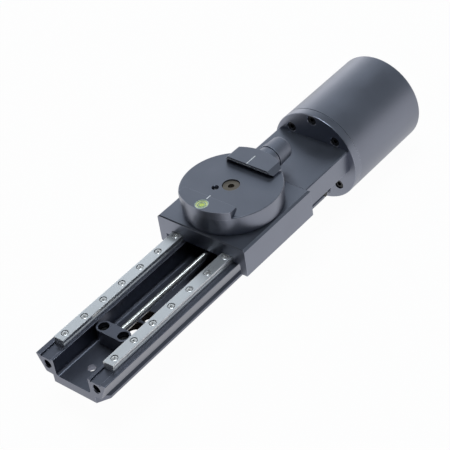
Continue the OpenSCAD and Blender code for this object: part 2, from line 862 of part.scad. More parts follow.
module carriage() {
    h = car_w / 2;
    c = car_cham;
    color(alu) difference() {
        intersection() {
            union() {
                along_x(car_x0, car_x1) carriage_2d();
                along_x(car_x0, car_x0 + end_wall_t) end_wall_2d();
                along_x(car_x1 - end_wall_t, car_x1) end_wall_2d();
            }
            along_y(-h - over, h + over)
                polygon([[car_x0, skirt_z - over], [car_x1, skirt_z - over],
                    [car_x1, car_top - c], [car_x1 - c, car_top], [car_x0 + c / 2, car_top],
                    [car_x0, car_top - c / 2]]);
        }
        for (p = guide_pts) {
            bar_z(car_top - guide_cbore_deep, car_top + over, guide_cbore_r, p[0], p[1]);
            bar_z(plate_z - over, car_top, m2_r + m3_play, p[0], p[1]);
        }
        for (s = [-1, 1]) {
            x = car_x - s * brk_bolt_x;
            bar_z(car_top - brk_cbore_deep, car_top + over, brk_cbore_r, x, s * brk_bolt_y);
            bar_z(plate_z - over, car_top, m3_r + m3_play, x, s * brk_bolt_y);
        }
        bar_z(plate_z - over, car_top + over, m6_r + gap, car_x, 0);
        bar_z(car_top - dowel_down, car_top + over, dowel_r + gap, car_x - dowel_in, 0);
    }
}

// Everything inside the round outline of the clamp disc.
module disc_body(z0, z1, r0, r1) {
    translate([car_x, 0, 0]) rotate_extrude()
        polygon([[0, z0], [r0 - broad, z0], [r0, z0 + broad], [r1, z1 - soft],
            [r1 - soft, z1], [0, z1]]);
}

module fixed_jaw() {
    u = undercut;
    e = fixed_edge;
    z0 = disc_floor - over;
    intersection() {
        bar_z(z0, jaw_top, disc_r, car_x, 0);
        along_y(-fixed_half, fixed_half) translate([car_x, 0])
            polygon([[-reach, z0], [-e - u, z0], [-e - u, disc_floor], [-e, disc_floor + u],
                [-e, jaw_top - fine], [-e - fine, jaw_top], [-reach, jaw_top]]);
    }
}

module clamp_base() {
    color(alu) difference() {
        union() {
            disc_body(car_top, disc_floor, disc_foot_r, disc_r);
            fixed_jaw();
        }
        span([car_x + pocket_in, -tongue_half - jaw_clear, pocket_z0],
            [car_x + reach, tongue_half + jaw_clear, jaw_top]);
        bar_x(car_x + spindle_x0 - spindle_play, car_x + pocket_in + over, spindle_d / 2 + eps,
            0, knob_z);
        bar_x(car_x + collar_x0 - 2 * eps, car_x + reach, collar_r + m3_play, 0, knob_z);
        for (s = [-1, 1])
            bar_x(car_x + pin_x0 - 2 * eps, car_x + pocket_in + over, pin_d / 2 + gap,
                s * pin_y, pin_z);
        bar_z(head_z, jaw_top, m6_head_r + centre_head_play, car_x, 0);
        bar_z(car_top - over, head_z + over, m6_r + m6_play, car_x, 0);
        bar_z(lock_cbore_z, jaw_top, lock_cbore_r, car_x - lock_in, lock_in);
        bar_z(lock_z0, jaw_top, lock_r + gap, car_x - lock_in, lock_in);
        bar_z(car_top - over, car_top + dowel_up, dowel_r + gap, car_x - dowel_in, 0);
        bar_z(jaw_top - vial_depth, jaw_top + over, bubble_d / 2 + gap, car_x - bubble_in, 0);
    }
}

// The jaw's lip over the disc floor.
module moving_lip(z0) {
    e = moving_edge;
    u = undercut;
    foot = moving_half;
    top = moving_top_half;
    intersection() {
        bar_z(z0, jaw_top, disc_r, car_x, 0);
        along_x(car_x, car_x + reach)
            polygon([[-foot, z0], [foot, z0], [foot, z0 + moving_flare], [top, jaw_top],
                [-top, jaw_top], [-foot, z0 + moving_flare]]);
        along_y(-disc_r, disc_r) translate([car_x, 0])
            polygon([[e + u, z0], [e, z0 + u], [e, jaw_top - fine], [e + fine, jaw_top],
                [reach, jaw_top], [reach, z0]]);
    }
}

module moving_jaw() {
    tongue_z0 = pocket_z0 + 2 * eps;
    color(alu) difference() {
        union() {
            moving_lip(disc_floor + jaw_clear);
            intersection() {
                bar_z(tongue_z0, jaw_top - over, disc_r, car_x, 0);
                span([car_x + tongue_in, -tongue_half, tongue_z0],
                    [car_x + reach, tongue_half, jaw_top - over]);
            }
        }
        bar_x(car_x + tongue_in - over, car_x + reach, spindle_d / 2 + run_clear, 0, knob_z);
        bar_x(car_x + collar_x0, car_x + reach, collar_r + gap, 0, knob_z);
        for (s = [-1, 1])
            bar_x(car_x + tongue_in - over, car_x + pin_x1 + pin_room, pin_d / 2 + gap,
                s * pin_y, pin_z);
    }
}

module clamp_collar() {
    color(alu) difference() {
        bar_x(car_x + collar_x0, car_x + collar_x1, collar_r, 0, knob_z);
        bar_x(car_x + collar_x0 - over, car_x + collar_x1 + over, spindle_d / 2 + run_clear, 0,
            knob_z);
    }
}

module clamp_spindle() {
    x0 = car_x + ring_x0;
    color(steel) difference() {
        bar_x(car_x + spindle_x0, car_x + spindle_x1, spindle_d / 2, 0, knob_z);
        difference() {
            bar_x(x0, x0 + ring_w, spindle_d, 0, knob_z);
            bar_x(x0 - fine, x0 + ring_w + fine, spindle_d / 2 - ring_deep, 0, knob_z);
        }
    }
}

module retaining_ring() {
    x0 = car_x + ring_x0;
    color(steel) difference() {
        bar_x(x0 + eps, x0 + ring_w - eps, ring_r, 0, knob_z);
        bar_x(x0 - fine, x0 + ring_w + fine, spindle_d / 2 - ring_deep + push, 0, knob_z);
    }
}

module clamp_knob() {
    r = knob_tip_r;
    k = knob_round;
    color(alu) difference() {
        translate([car_x, 0, knob_z]) rotate([0, 90, 0]) rotate_extrude() difference() {
            union() {
                polygon([[0, knob_x0], [knob_r - soft, knob_x0], [knob_r, knob_x0 + soft],
                    [r, knob_x1 - k], [r - k, knob_x1 - k], [r - k, knob_x1], [0, knob_x1]]);
                translate([r - k, knob_x1 - k]) circle(r = k);
            }
            translate([-knob_r, 0]) square([knob_r, knob_x1 + over]);
        }
        bar_x(car_x + knob_x0 - over, car_x + spindle_x1 + eps, spindle_d / 2 + push, 0, knob_z);
    }
}

module guide_pins() {
    color(steel) for (s = [-1, 1])
        bar_x(car_x + pin_x0, car_x + pin_x1, pin_d / 2, s * pin_y, pin_z);
}

module centre_screw() {
    color(tan_steel)
        cap_screw_z(car_x, 0, disc_floor - centre_sink, m6_head_r, m6_head_h, m6_r,
            plate_z + broad, m6_key);
}

module lock_pin() {
    color(steel)
        bar_z(lock_z0 + 2 * eps, disc_floor - lock_sink, lock_r, car_x - lock_in, lock_in);
}

module clamp_dowel() {
    color(steel) bar_z(car_top - dowel_down + 2 * eps, car_top + dowel_up - 2 * eps, dowel_r,
        car_x - dowel_in, 0);
}

module bubble_vial() {
    z0 = jaw_top - vial_depth;
    x = car_x - bubble_in;
    color([0.85, 0.9, 0.8]) difference() {
        bar_z(z0 + gap, jaw_top - eps, bubble_d / 2, x, 0);
        bar_z(z0 + vial_floor, jaw_top - vial_lid, bubble_d / 2 - vial_wall, x, 0);
    }
}

module bubble_liquid() {
    color([0.75, 0.9, 0.2])
        bar_z(jaw_top - vial_depth + vial_floor + push, jaw_top - vial_lid - push,
            bubble_d / 2 - vial_wall - push, car_x - bubble_in, 0);
}

module home_switch() {
    color(dark) difference() {
        union() {
            span([switch_x - switch_half, -switch_y - switch_w / 2, floor_z],
                [switch_x + switch_half, -switch_y + switch_w / 2, switch_top]);
            span([brk_x1 + broad, lever_y0, lever_z0],
                [switch_x - switch_half + fine, lever_y1, lever_z1]);
        }
        for (s = [-1, 1])
            bar_z(floor_z - over, switch_top + over, m2_r + m2_play,
                switch_x + s * switch_bolt_x, -switch_y);
    }
}

module switch_screws() {
    color(steel) for (s = [-1, 1])
        cap_screw_z(switch_x + s * switch_bolt_x, -switch_y, switch_top + low_head_h,
            small_head_r, low_head_h, m2_r, switch_tap_floor + soft, m2_key);
}

// Where the face screws go that hold the can's plate to the housing.
face_pts = [for (s = [-1, 1]) for (z = face_bolt_zs) [s * face_bolt_y, z]];

module coupling_housing() {
    h = top_half;
    c = neck_edge;
    x0 = neck_x0;
    color(alu) difference() {
        union() {
            along_x(x0, neck_x1)
                polygon([[-h, leg_cut_z], [h, leg_cut_z], [h, neck_top - c], [h - c, neck_top],
                    [-h + c, neck_top], [-h, neck_top - c]]);
            along_x(x0, x0 + neck_wall)
                polygon([[-key_foot_half, floor_z + 2 * eps], [key_foot_half, floor_z + 2 * eps],
                    [key_half, key_flare_z], [key_half, leg_cut_z + over],
                    [-key_half, leg_cut_z + over], [-key_half, key_flare_z]]);
        }
        span([x0 + neck_wall, -channel_half, leg_cut_z - over],
            [neck_x1 + over, channel_half, neck_roof]);
        bar_x(x0 - over, x0 + rear_brg_w, rear_brg_d / 2 + push, 0, axis_z);
        bar_x(x0, x0 + neck_wall + over, shaft_hole_r, 0, axis_z);
        for (s = [-1, 1]) {
            bar_x(x0 - over, x0 + nut_reach, m2_r + gap, s * retainer_bolt_y, axis_z);
            for (x = foot_screw_xs)
                bar_z(leg_cut_z - over, foot_tap_z, m4_r + gap, x, s * foot_bolt_y);
        }
        for (p = face_pts) bar_x(neck_x1 - face_tap, neck_x1 + over, m3_r + gap, p[0], p[1]);
    }
}

module housing_screws() {
    z0 = foot_cbore_deep - m4_head_h;
    color(dark) for (s = [-1, 1]) for (x = foot_screw_xs)
        translate([x, s * foot_bolt_y, 0]) difference() {
            union() {
                bar_z(z0, foot_cbore_deep, m4_head_r, 0, 0);
                bar_z(foot_cbore_deep - 2 * eps, foot_tap_z - over, m4_r, 0, 0);
            }
            key_z(z0 - over, 2.4, m4_key);
        }
}

module rear_bearing() {
    color(steel) difference() {
        bar_x(neck_x0, neck_x0 + rear_brg_w, rear_brg_d / 2, 0, axis_z);
        bar_x(neck_x0 - over, neck_x0 + rear_brg_w + over, screw_d / 2 + run_clear, 0, axis_z);
    }
}

module bearing_retainer() {
    x0 = neck_x0 - retainer_t;
    color(steel) difference() {
        span([x0, -retainer_half, retainer_z0], [neck_x0, retainer_half, retainer_z1]);
        bar_x(x0 - over, neck_x0 + over, shaft_hole_r + m2_play, 0, axis_z);
        for (s = [-1, 1])
            bar_x(x0 - over, neck_x0 + over, m2_r + m2_play, s * retainer_bolt_y, axis_z);
    }
}

module retainer_screws() {
    color(steel) for (s = [-1, 1])
        cap_screw_x(neck_x0 - retainer_t - thin_head_h, s * retainer_bolt_y, axis_z,
            thin_head_r, thin_head_h, m2_r, neck_x0 + nut_reach - 0.5, m2_key);
}

module shaft_coupling() {
    r = coupling_d / 2;
    color([0.7, 0.7, 0.72]) difference() {
        bar_x(coup_x0, coup_x1, r, 0, axis_z);
        bar_x(coup_x0 - over, coup_mid, screw_d / 2 + push, 0, axis_z);
        bar_x(coup_mid - 2 * eps, coup_x1 + over, shaft_d / 2 + push, 0, axis_z);
        for (x = [coup_x0 + grub_in, coup_x1 - grub_in])
            bar_z(axis_z, axis_z + r + over, grub_r + gap, x, 0);
    }
}

module coupling_screws() {
    color(dark) {
        bar_z(axis_z + screw_d / 2 + gap, axis_z + grub_top, grub_r, coup_x0 + grub_in, 0);
        bar_z(axis_z + shaft_d / 2 + gap, axis_z + grub_top, grub_r, coup_x1 - grub_in, 0);
    }
}

// Where the screws go in the can's face: four for the motor and two for the shell.
motor_pts = [for (s = [-1, 1]) for (t = [-1, 1])
    [s * motor_bolt / 2, axis_z + t * motor_bolt / 2]];
can_pts = [for (s = [-1, 1]) [0, axis_z + s * boss_r]];

module can_plate() {
    e = plate_edge;
    color(alu) difference() {
        translate([can_x0, 0, axis_z]) rotate([0, 90, 0]) rotate_extrude()
            polygon([[0, 0], [can_r - e, 0], [can_r, e], [can_r, plate_t - soft],
                [can_r - soft, plate_t], [0, plate_t]]);
        bar_x(can_x0 - over, plate_x1 + over, plate_bore_r, 0, axis_z);
        bar_x(plate_x1 - pilot_h - fine, plate_x1 + over, pilot_r + m2_play, 0, axis_z);
        for (p = concat(motor_pts, can_pts)) {
            bar_x(can_x0 - over, can_x0 + plate_cbore_deep, plate_cbore_r, p[0], p[1]);
            bar_x(can_x0, plate_x1 + over, m3_r + m3_play, p[0], p[1]);
        }
        for (p = face_pts) {
            bar_x(plate_x1 - face_cbore_deep, plate_x1 + over, face_cbore_r, p[0], p[1]);
            bar_x(can_x0 - over, plate_x1, m3_r + m3_play, p[0], p[1]);
        }
    }
}

module plate_screws() {
    color(dark) for (p = face_pts)
        translate([plate_x1 - face_cbore_deep, p[0], p[1]]) difference() {
            union() {
                bar_x(0, face_head_h, m3_head_r, 0, 0);
                bar_x(-face_reach, 2 * eps, m3_r, 0, 0);
            }
            rotate([0, 90, 0]) key_z(over, face_head_h + over, face_key);
        }
}

module motor_screws() {
    color(dark) for (p = motor_pts)
        cap_screw_x(can_x0 + plate_cbore_deep - m3_head_h, p[0], p[1], m3_head_r, m3_head_h,
            m3_r, plate_x1 + motor_tap - 0.5, m3_key);
}

module can_screws() {
    color(dark) for (p = can_pts)
        cap_screw_x(can_x0 + plate_cbore_deep - m3_head_h, p[0], p[1], m3_head_r, m3_head_h,
            m3_r, plate_x1 + can_tap - 2, m3_key);
}

// Square motor section with cut corners, drawn round the motor's axis.
module motor_2d(w, cut) {
    h = w / 2;
    translate([0, axis_z])
        polygon([[-h + cut, -h], [h - cut, -h], [h, -h + cut], [h, h - cut], [h - cut, h],
            [-h + cut, h], [-h, h - cut], [-h, -h + cut]]);
}

module motor_front_bell() {
    x0 = plate_x1;
    x1 = x0 + bell_len;
    color(cast) difference() {
        union() {
            along_x(x0, x1) motor_2d(motor_w, bell_cut);
            bar_x(x0 - pilot_h, x0 + over, pilot_r, 0, axis_z);
        }
        bar_x(x0 - pilot_h - over, x1 + over, shaft_d / 2 + run_clear, 0, axis_z);
        bar_x(x0 + bell_wall, x1 + over, bell_bore_r, 0, axis_z);
        for (p = motor_pts) bar_x(x0 - over, x0 + motor_tap, m3_r + gap, p[0], p[1]);
    }
}

module motor_stator() {
    color([0.25, 0.25, 0.27]) difference() {
        along_x(plate_x1 + bell_len, plate_x1 + motor_len - bell_len)
            motor_2d(motor_w - 2 * stator_in, stator_cut);
        bar_x(plate_x1, plate_x1 + motor_len, rotor_r + rotor_air, 0, axis_z);
    }
}

module motor_rear_bell() {
    x0 = plate_x1 + motor_len - bell_len;
    x1 = plate_x1 + motor_len;
    color(cast) difference() {
        along_x(x0, x1) motor_2d(motor_w, bell_cut);
        bar_x(x0 - over, x1 + over, shaft_d / 2 + run_clear, 0, axis_z);
        bar_x(x0 - over, x1 - bell_wall, bell_bore_r, 0, axis_z);
    }
}

module motor_rotor() {
    x0 = plate_x1 + (motor_len - rotor_len) / 2;
    color([0.5, 0.5, 0.52]) difference() {
        bar_x(x0, x0 + rotor_len, rotor_r, 0, axis_z);
        bar_x(x0 - over, x0 + rotor_len + over, shaft_d / 2 + hair, 0, axis_z);
    }
}

module motor_shaft() {
    color(steel) bar_x(shaft_x0, plate_x1 + motor_len + over, shaft_d / 2, 0, axis_z);
}

// Where the posts of the control board stand.
post_pts = [for (s = [-1, 1]) for (t = [-1, 1]) [s * post_half, axis_z + t * post_half]];

module control_board() {
    x = plate_x1 + motor_len + post_h;
    color([0.05, 0.3, 0.15]) difference() {
        bar_x(x, x + board_t, board_r, 0, axis_z);
        for (p = post_pts) bar_x(x - over, x + board_t + over, board_hole_r, p[0], p[1]);
    }
}

module board_posts() {
    x0 = plate_x1 + motor_len;
    x1 = x0 + post_h;
    color(brass) for (p = post_pts) {
        bar_x(x0, x1, post_r, p[0], p[1]);
        bar_x(x1 - 2 * eps, x1 + stud_len, stud_r, p[0], p[1]);
    }
}

// Outline of the shell's half section, with a round rear edge.
module shell_2d() {
    k = shell_round;
    difference() {
        union() {
            translate([0, soft]) square([can_r, shell_len - soft - k]);
            square([can_r - soft, 2 * k]);
            square([can_r - k, shell_len]);
            translate([can_r - k, shell_len - k]) circle(r = k);
        }
        translate([-can_r, -over]) square([can_r, shell_len + 2 * over]);
    }
}

module can_shell() {
    inner = can_r - shell_t;
    color(alu) difference() {
        translate([plate_x1, 0, axis_z]) rotate([0, 90, 0]) rotate_extrude() shell_2d();
        difference() {
            bar_x(plate_x1 - over, shell_x1 - shell_end, inner, 0, axis_z);
            for (s = [-1, 1])
                bar_x(plate_x1, plate_x1 + boss_post_len, boss_post_r, 0,
                    axis_z + s * (boss_r + broad));
        }
        for (p = can_pts) bar_x(plate_x1 - over, plate_x1 + can_tap, m3_r + gap, p[0], p[1]);
        bar_x(shell_x1 - shell_end - socket_in, shell_x1 + over, socket_r + m2_play, 0,
            socket_z);
    }
}

// Places of the socket's contacts on their ring.
contact_pts = [for (i = [0 : contact_count - 1]) let (a = (i + 0.5) * 360 / contact_count)
    [contact_ring_r * cos(a), socket_z + contact_ring_r * sin(a)]];

module rear_socket() {
    x0 = shell_x1 - shell_end - socket_in;
    color(dark) difference() {
        union() {
            bar_x(x0, shell_x1 - socket_sink, socket_r, 0, socket_z);
            bar_x(shell_x1 - shell_end - socket_flange_t, shell_x1 - shell_end,
                socket_flange_r, 0, socket_z);
        }
        bar_x(shell_x1 - socket_mouth, shell_x1 + over, socket_mouth_r, 0, socket_z);
        for (p = contact_pts) bar_x(x0 + over, shell_x1, contact_r + gap, p[0], p[1]);
    }
}

module socket_contacts() {
    x0 = shell_x1 - shell_end - socket_in + over;
    color(brass) for (p = contact_pts) difference() {
        bar_x(x0, shell_x1 - socket_mouth - fine, contact_r, p[0], p[1]);
        bar_x(x0 + 2, shell_x1, contact_bore_r, p[0], p[1]);
    }
}

base_profile();
rail_left();
rail_right();
rail_screws_left();
rail_screws_right();
bearing_block();
block_screws();
near_bearing();
tripod_bush_large();
tripod_bush_small();
lead_screw();
lead_nut();
nut_screws();
nut_bracket();
bracket_screws();
guide_block_near_left();
guide_block_near_right();
guide_block_far_left();
guide_block_far_right();
guide_end_caps();
guide_screws();
carriage();
clamp_base();
moving_jaw();
clamp_collar();
clamp_spindle();
clamp_knob();
retaining_ring();
guide_pins();
centre_screw();
lock_pin();
clamp_dowel();
bubble_vial();
bubble_liquid();
home_switch();
switch_screws();
coupling_housing();
housing_screws();
rear_bearing();
bearing_retainer();
retainer_screws();
shaft_coupling();
coupling_screws();
can_plate();
plate_screws();
motor_screws();
can_screws();
motor_front_bell();
motor_stator();
motor_rear_bell();
motor_rotor();
motor_shaft();
control_board();
board_posts();
can_shell();
rear_socket();
socket_contacts();
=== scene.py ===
"""Looks of a motorised focusing rack: a clamp carriage on two guide rails, driven by a lead screw.

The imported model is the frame. X runs along the rails toward the motor can, Y to the left, Z up.
Each sub-assembly is a class that holds its sizes, builds its pieces and dresses them.
"""

import json
import logging
import math
from collections.abc import Iterable, Sequence
from dataclasses import dataclass
from enum import Enum

import bmesh
import bpy
from mathutils import Matrix, Vector

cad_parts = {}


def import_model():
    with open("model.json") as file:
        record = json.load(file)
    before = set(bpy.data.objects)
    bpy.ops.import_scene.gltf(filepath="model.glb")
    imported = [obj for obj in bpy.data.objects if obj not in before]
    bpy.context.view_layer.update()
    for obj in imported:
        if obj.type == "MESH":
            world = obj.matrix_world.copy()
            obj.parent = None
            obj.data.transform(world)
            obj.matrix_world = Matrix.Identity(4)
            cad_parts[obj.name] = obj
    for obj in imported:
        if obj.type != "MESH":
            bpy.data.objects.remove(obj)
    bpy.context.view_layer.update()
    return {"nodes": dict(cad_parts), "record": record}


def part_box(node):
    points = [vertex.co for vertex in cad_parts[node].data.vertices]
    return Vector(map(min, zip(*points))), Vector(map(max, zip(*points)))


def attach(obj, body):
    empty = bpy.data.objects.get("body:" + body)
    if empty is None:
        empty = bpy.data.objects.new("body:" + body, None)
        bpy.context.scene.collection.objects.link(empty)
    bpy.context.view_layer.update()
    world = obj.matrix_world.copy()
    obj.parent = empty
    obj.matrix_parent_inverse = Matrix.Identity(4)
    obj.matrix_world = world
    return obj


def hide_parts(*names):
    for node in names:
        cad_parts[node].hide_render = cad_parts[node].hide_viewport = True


LOG = logging.getLogger("focusing_rack")
MM = 0.001
FULL_TURN = 2 * math.pi
MERGE = 1e-6

Point = tuple[float, float]
Corner = tuple[float, float, float]
Mesh = bmesh.types.BMesh
Piece = bpy.types.Object
Socket = bpy.types.NodeSocket
Inlet = Socket | float | Sequence[float]
Inputs = dict[str | int, Inlet]

THROUGH = 9.0 * MM
BROAD_SIZE = 22.0 * MM
CLEAR_SIZE = 1.5 * MM
DRAWN_SHARE = 0.02
NOISE_RANGE = (0.3, 0.7)
# Edge lightening: partly wear, partly a painted highlight along the edges.
EDGE_SCUFF_AND_HIGHLIGHT = 0.8
EDGE_SCUFF_AND_HIGHLIGHT_WIDTH = 0.35 * MM
EDGE_SCUFF_AND_HIGHLIGHT_BEND = (0.995, 0.93)
M3_HEAD = (2.75 * MM, 3.0 * MM)
M3_KEY = 2.5 * MM
M3_BOLT = 1.5 * MM
GUIDE_SIDES = ("near_left", "near_right", "far_left", "far_right")


class Axis(Enum):
    """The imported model's directions."""

    X = (1.0, 0.0, 0.0)
    Y = (0.0, 1.0, 0.0)
    Z = (0.0, 0.0, 1.0)

    @property
    def vector(self) -> Vector:
        """The unit vector along this direction."""
        return Vector(self.value)

    def place(self, along: float, u: float, v: float) -> Vector:
        """Puts a section's point into the frame.

        Args:
            along: The distance along this axis.
            u: The section's first coordinate: Y for X, X for Y and Z.
            v: The section's second coordinate: Z for X and Y, Y for Z.

        Returns:
            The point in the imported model's frame.
        """
        if self is Axis.X:
            return Vector((along, u, v))
        if self is Axis.Y:
            return Vector((u, along, v))
        return Vector((u, v, along))


class Body(Enum):
    """The rigid bodies that pieces ride on."""

    BASE = "base"
    SHAFT = "drive_shaft"
    SLIDER = "slider"
    JAW = "clamp_jaw"
    KNOB = "clamp_screw"


class Slot(Enum):
    """The record's material slots."""

    ANODISED = "body_anodised"
    RAIL = "rail_steel"
    BRIGHT = "bright_steel"
    BLACK = "dark_steel"
    TAN = "tan_steel"
    SHAFT = "screw_steel"
    BRASS = "brass"
    PLASTIC = "black_plastic"
    CLEAR = "vial_clear"
    LIQUID = "vial_liquid"
    LAMINATION = "motor_steel"
    CAST = "motor_aluminium"
    BOARD = "board_green"


# Mesh making


def rounded(corners: Sequence[Corner], steps: int = 4) -> list[Point]:
    """Rounds the corners of an outline.

    Args:
        corners: Each corner's two coordinates and its radius.
        steps: How many stretches each arc has.

    Returns:
        The outline's points in the same order.
    """
    points: list[Point] = []
    for i, (u, v, radius) in enumerate(corners):
        here = Vector((u, v))
        before = Vector(corners[i - 1][:2]) - here
        after = Vector(corners[(i + 1) % len(corners)][:2]) - here
        if radius <= 0:
            points.append((u, v))
            continue
        half = before.angle(after) / 2
        reach = min(radius / math.tan(half), before.length * 0.49, after.length * 0.49)
        first = here + before.normalized() * reach
        last = here + after.normalized() * reach
        middle = here + (before.normalized() + after.normalized()).normalized() * (
            reach / math.cos(half)
        )
        arm = (first - middle).length
        for k in range(steps + 1):
            spot = first.lerp(last, k / steps) - middle
            spot = middle + spot.normalized() * arm
            points.append((spot.x, spot.y))
    return points


def mirrored(half: Sequence[Corner]) -> list[Corner]:
    """Completes an outline that is symmetric about its first coordinate's zero.

    Args:
        half: The corners on the positive side, from the lower middle to the upper middle.

    Returns:
        The whole outline.
    """
    return [*half, *[(-u, v, r) for u, v, r in reversed(half)]]


def circle_corners(radius: float, count: int, centre: Point = (0.0, 0.0)) -> list[Point]:
    """Gives evenly spaced points on a circle."""
    return [
        (
            centre[0] + radius * math.cos(FULL_TURN * i / count),
            centre[1] + radius * math.sin(FULL_TURN * i / count),
        )
        for i in range(count)
    ]


def angles(end: int, step: int) -> list[float]:
    """Gives the angles from 0 to an end, in radians for degrees."""
    return [math.radians(d) for d in range(0, end + 1, step)]


def round_end(along: float, radius: float, bend: float) -> list[Point]:
    """Gives the arc that rounds the far end of a turned profile."""
    middle, height = along - bend, radius - bend
    return [(middle + bend * math.sin(a), height + bend * math.cos(a)) for a in angles(90, 10)]


def tidy(shape: Mesh) -> Mesh:
    """Merges a shape's doubles and turns its faces outwards."""
    bmesh.ops.remove_doubles(shape, verts=shape.verts, dist=MERGE)
    bmesh.ops.recalc_face_normals(shape, faces=shape.faces)
    return shape


def extruded(
    outline: Sequence[Point], axis: Axis, start: float, end: float, edge: float = 0.0
) -> Mesh:
    """Extrudes an outline along an axis and eases the edges of its two ends.

    Args:
        outline: The section's points.
        axis: The direction of the extrusion.
        start: Where it starts along the axis.
        end: Where it ends.
        edge: The width of the bevel round each end.

    Returns:
        The closed shape.
    """
    shape = bmesh.new()
    verts = [shape.verts.new(axis.place(start, u, v)) for u, v in outline]
    cap = shape.faces.new(verts)
    grown = bmesh.ops.extrude_face_region(shape, geom=[cap])
    moved = [g for g in grown["geom"] if isinstance(g, bmesh.types.BMVert)]
    bmesh.ops.translate(shape, verts=moved, vec=axis.vector * (end - start))
    tidy(shape)
    if edge > 0:
        run = axis.vector
        ends = [e for e in shape.edges if abs((e.verts[0].co - e.verts[1].co).dot(run)) < MERGE]
        soften(shape, ends, edge)
    return shape


def soften(
    shape: Mesh, edges: Iterable[bmesh.types.BMEdge], width: float, segments: int = 2
) -> None:
    """Bevels the given edges of a shape."""
    bmesh.ops.bevel(
        shape,
        geom=list(edges),
        offset=width,
        offset_type="OFFSET",
        affect="EDGES",
        segments=segments,
        profile=0.5,
        clamp_overlap=True,
        material=-1,
    )


def block(low: Sequence[float], high: Sequence[float], edge: float = 0.0) -> Mesh:
    """Makes a box between two corners with eased edges."""
    shape = bmesh.new()
    bmesh.ops.create_cube(shape, size=1.0)
    size = Vector(high) - Vector(low)
    bmesh.ops.scale(shape, vec=size, verts=shape.verts)
    bmesh.ops.translate(shape, vec=Vector(low) + size / 2, verts=shape.verts)
    if edge > 0:
        soften(shape, shape.edges, edge)
    return shape


def turned(
    profile: Sequence[Point],
    axis: Axis = Axis.X,
    centre: Sequence[float] = (0.0, 0.0, 0.0),
    steps: int = 64,
    closed: bool = False,
) -> Mesh:
    """Turns a profile on the lathe.

    Args:
        profile: Pairs of distance along the axis and radius.
        axis: The direction of the turning axis.
        centre: A point on that axis.
        steps: How many stretches the full turn has.
        closed: Whether the profile is a loop, as for a ring.

    Returns:
        The closed shape.
    """
    shape = bmesh.new()
    side = Axis.Z.vector if axis is not Axis.Z else Axis.X.vector
    verts = [shape.verts.new(axis.vector * along + side * radius) for along, radius in profile]
    pairs = list(zip(verts, verts[1:]))
    if closed:
        pairs.append((verts[-1], verts[0]))
    edges = [shape.edges.new(pair) for pair in pairs]
    bmesh.ops.spin(
        shape,
        geom=[*verts, *edges],
        cent=(0, 0, 0),
        axis=axis.vector,
        dvec=(0, 0, 0),
        angle=FULL_TURN,
        steps=steps,
        use_merge=True,
    )
    bmesh.ops.translate(shape, vec=Vector(centre), verts=shape.verts)
    return tidy(shape)


def shaved(shape: Mesh, point: Sequence[float], outward: Sequence[float]) -> Mesh:
    """Cuts off what lies beyond a plane and closes the cut.

    Args:
        shape: The shape to cut.
        point: A point on the plane.
        outward: The plane's normal, toward the side that goes.

    Returns:
        The same shape.
    """
    cut = bmesh.ops.bisect_plane(
        shape,
        geom=[*shape.verts, *shape.edges, *shape.faces],
        plane_co=Vector(point),
        plane_no=Vector(outward),
        clear_outer=True,
    )
    rim = [g for g in cut["geom_cut"] if isinstance(g, bmesh.types.BMEdge)]
    bmesh.ops.holes_fill(shape, edges=rim, sides=0)
    return tidy(shape)


def merged(shapes: Iterable[Mesh]) -> Mesh:
    """Puts several shapes into the first one."""
    shapes = list(shapes)
    whole = shapes[0]
    for extra in shapes[1:]:
        scratch = bpy.data.meshes.new("scratch")
        extra.to_mesh(scratch)
        whole.from_mesh(scratch)
        bpy.data.meshes.remove(scratch)
        extra.free()
    return whole


def repeated(shape: Mesh, moves: Sequence[Matrix]) -> Mesh:
    """Sets copies of a shape at several places.

    Args:
        shape: The shape at the origin. It is used up.
        moves: One transform for each copy.

    Returns:
        One shape that holds all the copies.
    """
    scratch = bpy.data.meshes.new("scratch")
    shape.to_mesh(scratch)
    shape.free()
    whole = bmesh.new()
    for move in moves:
        before = len(whole.verts)
        whole.from_mesh(scratch)
        whole.verts.ensure_lookup_table()
        bmesh.ops.transform(whole, matrix=move, verts=whole.verts[before:])
    bpy.data.meshes.remove(scratch)
    return whole


def to_piece(shape: Mesh, name: str) -> Piece:
    """Writes a shape into a new object that sits at the origin."""
    mesh = bpy.data.meshes.new(name)
    shape.to_mesh(mesh)
    shape.free()
    piece = bpy.data.objects.new(name, mesh)
    bpy.context.scene.collection.objects.link(piece)
    return piece


def settle(piece: Piece) -> None:
    """Writes a piece's modifiers into its mesh."""
    graph = bpy.context.evaluated_depsgraph_get()
    mesh = bpy.data.meshes.new_from_object(piece.evaluated_get(graph))
    piece.modifiers.clear()
    old = piece.data
    piece.data = mesh
    mesh.name = piece.name
    bpy.data.meshes.remove(old)


def drilled(piece: Piece, cutters: Iterable[Mesh]) -> Piece:
    """Takes several shapes out of a piece.

    Args:
        piece: The piece to cut.
        cutters: The shapes that are removed. None of them overlaps another.

    Returns:
        The same piece.
    """
    tool = to_piece(merged(cutters), "cutter")
    modifier = piece.modifiers.new("cut", "BOOLEAN")
    modifier.operation = "DIFFERENCE"
    modifier.solver = "EXACT"
    modifier.object = tool
    settle(piece)
    spent = tool.data
    bpy.data.objects.remove(tool)
    bpy.data.meshes.remove(spent)
    return piece


def hole(
    axis: Axis, mouth: Sequence[float], steps: Sequence[Point], flare: float = 0.0, sense: int = 1
) -> Mesh:
    """Makes the cutter for a stepped round hole.

    Args:
        axis: The hole's direction.
        mouth: The middle of the hole's mouth.
        steps: Pairs of depth and radius, from the mouth inward.
        flare: The width of the countersink at the mouth.
        sense: 1 where the hole runs along the axis and -1 where it runs against it.

    Returns:
        The cutter.
    """
    over = 1.0 * MM
    first = steps[0][1]
    profile = [(-over, 0.0), (-over, first + flare), (0.0, first + flare)]
    if flare > 0:
        profile.append((flare, first))
    for (depth, radius), (_, following) in zip(steps, [*steps[1:], (0.0, 0.0)]):
        profile += [(depth, radius), (depth, following)]
    profile = [(sense * along, radius) for along, radius in profile]
    return turned(profile, axis, mouth, steps=32)


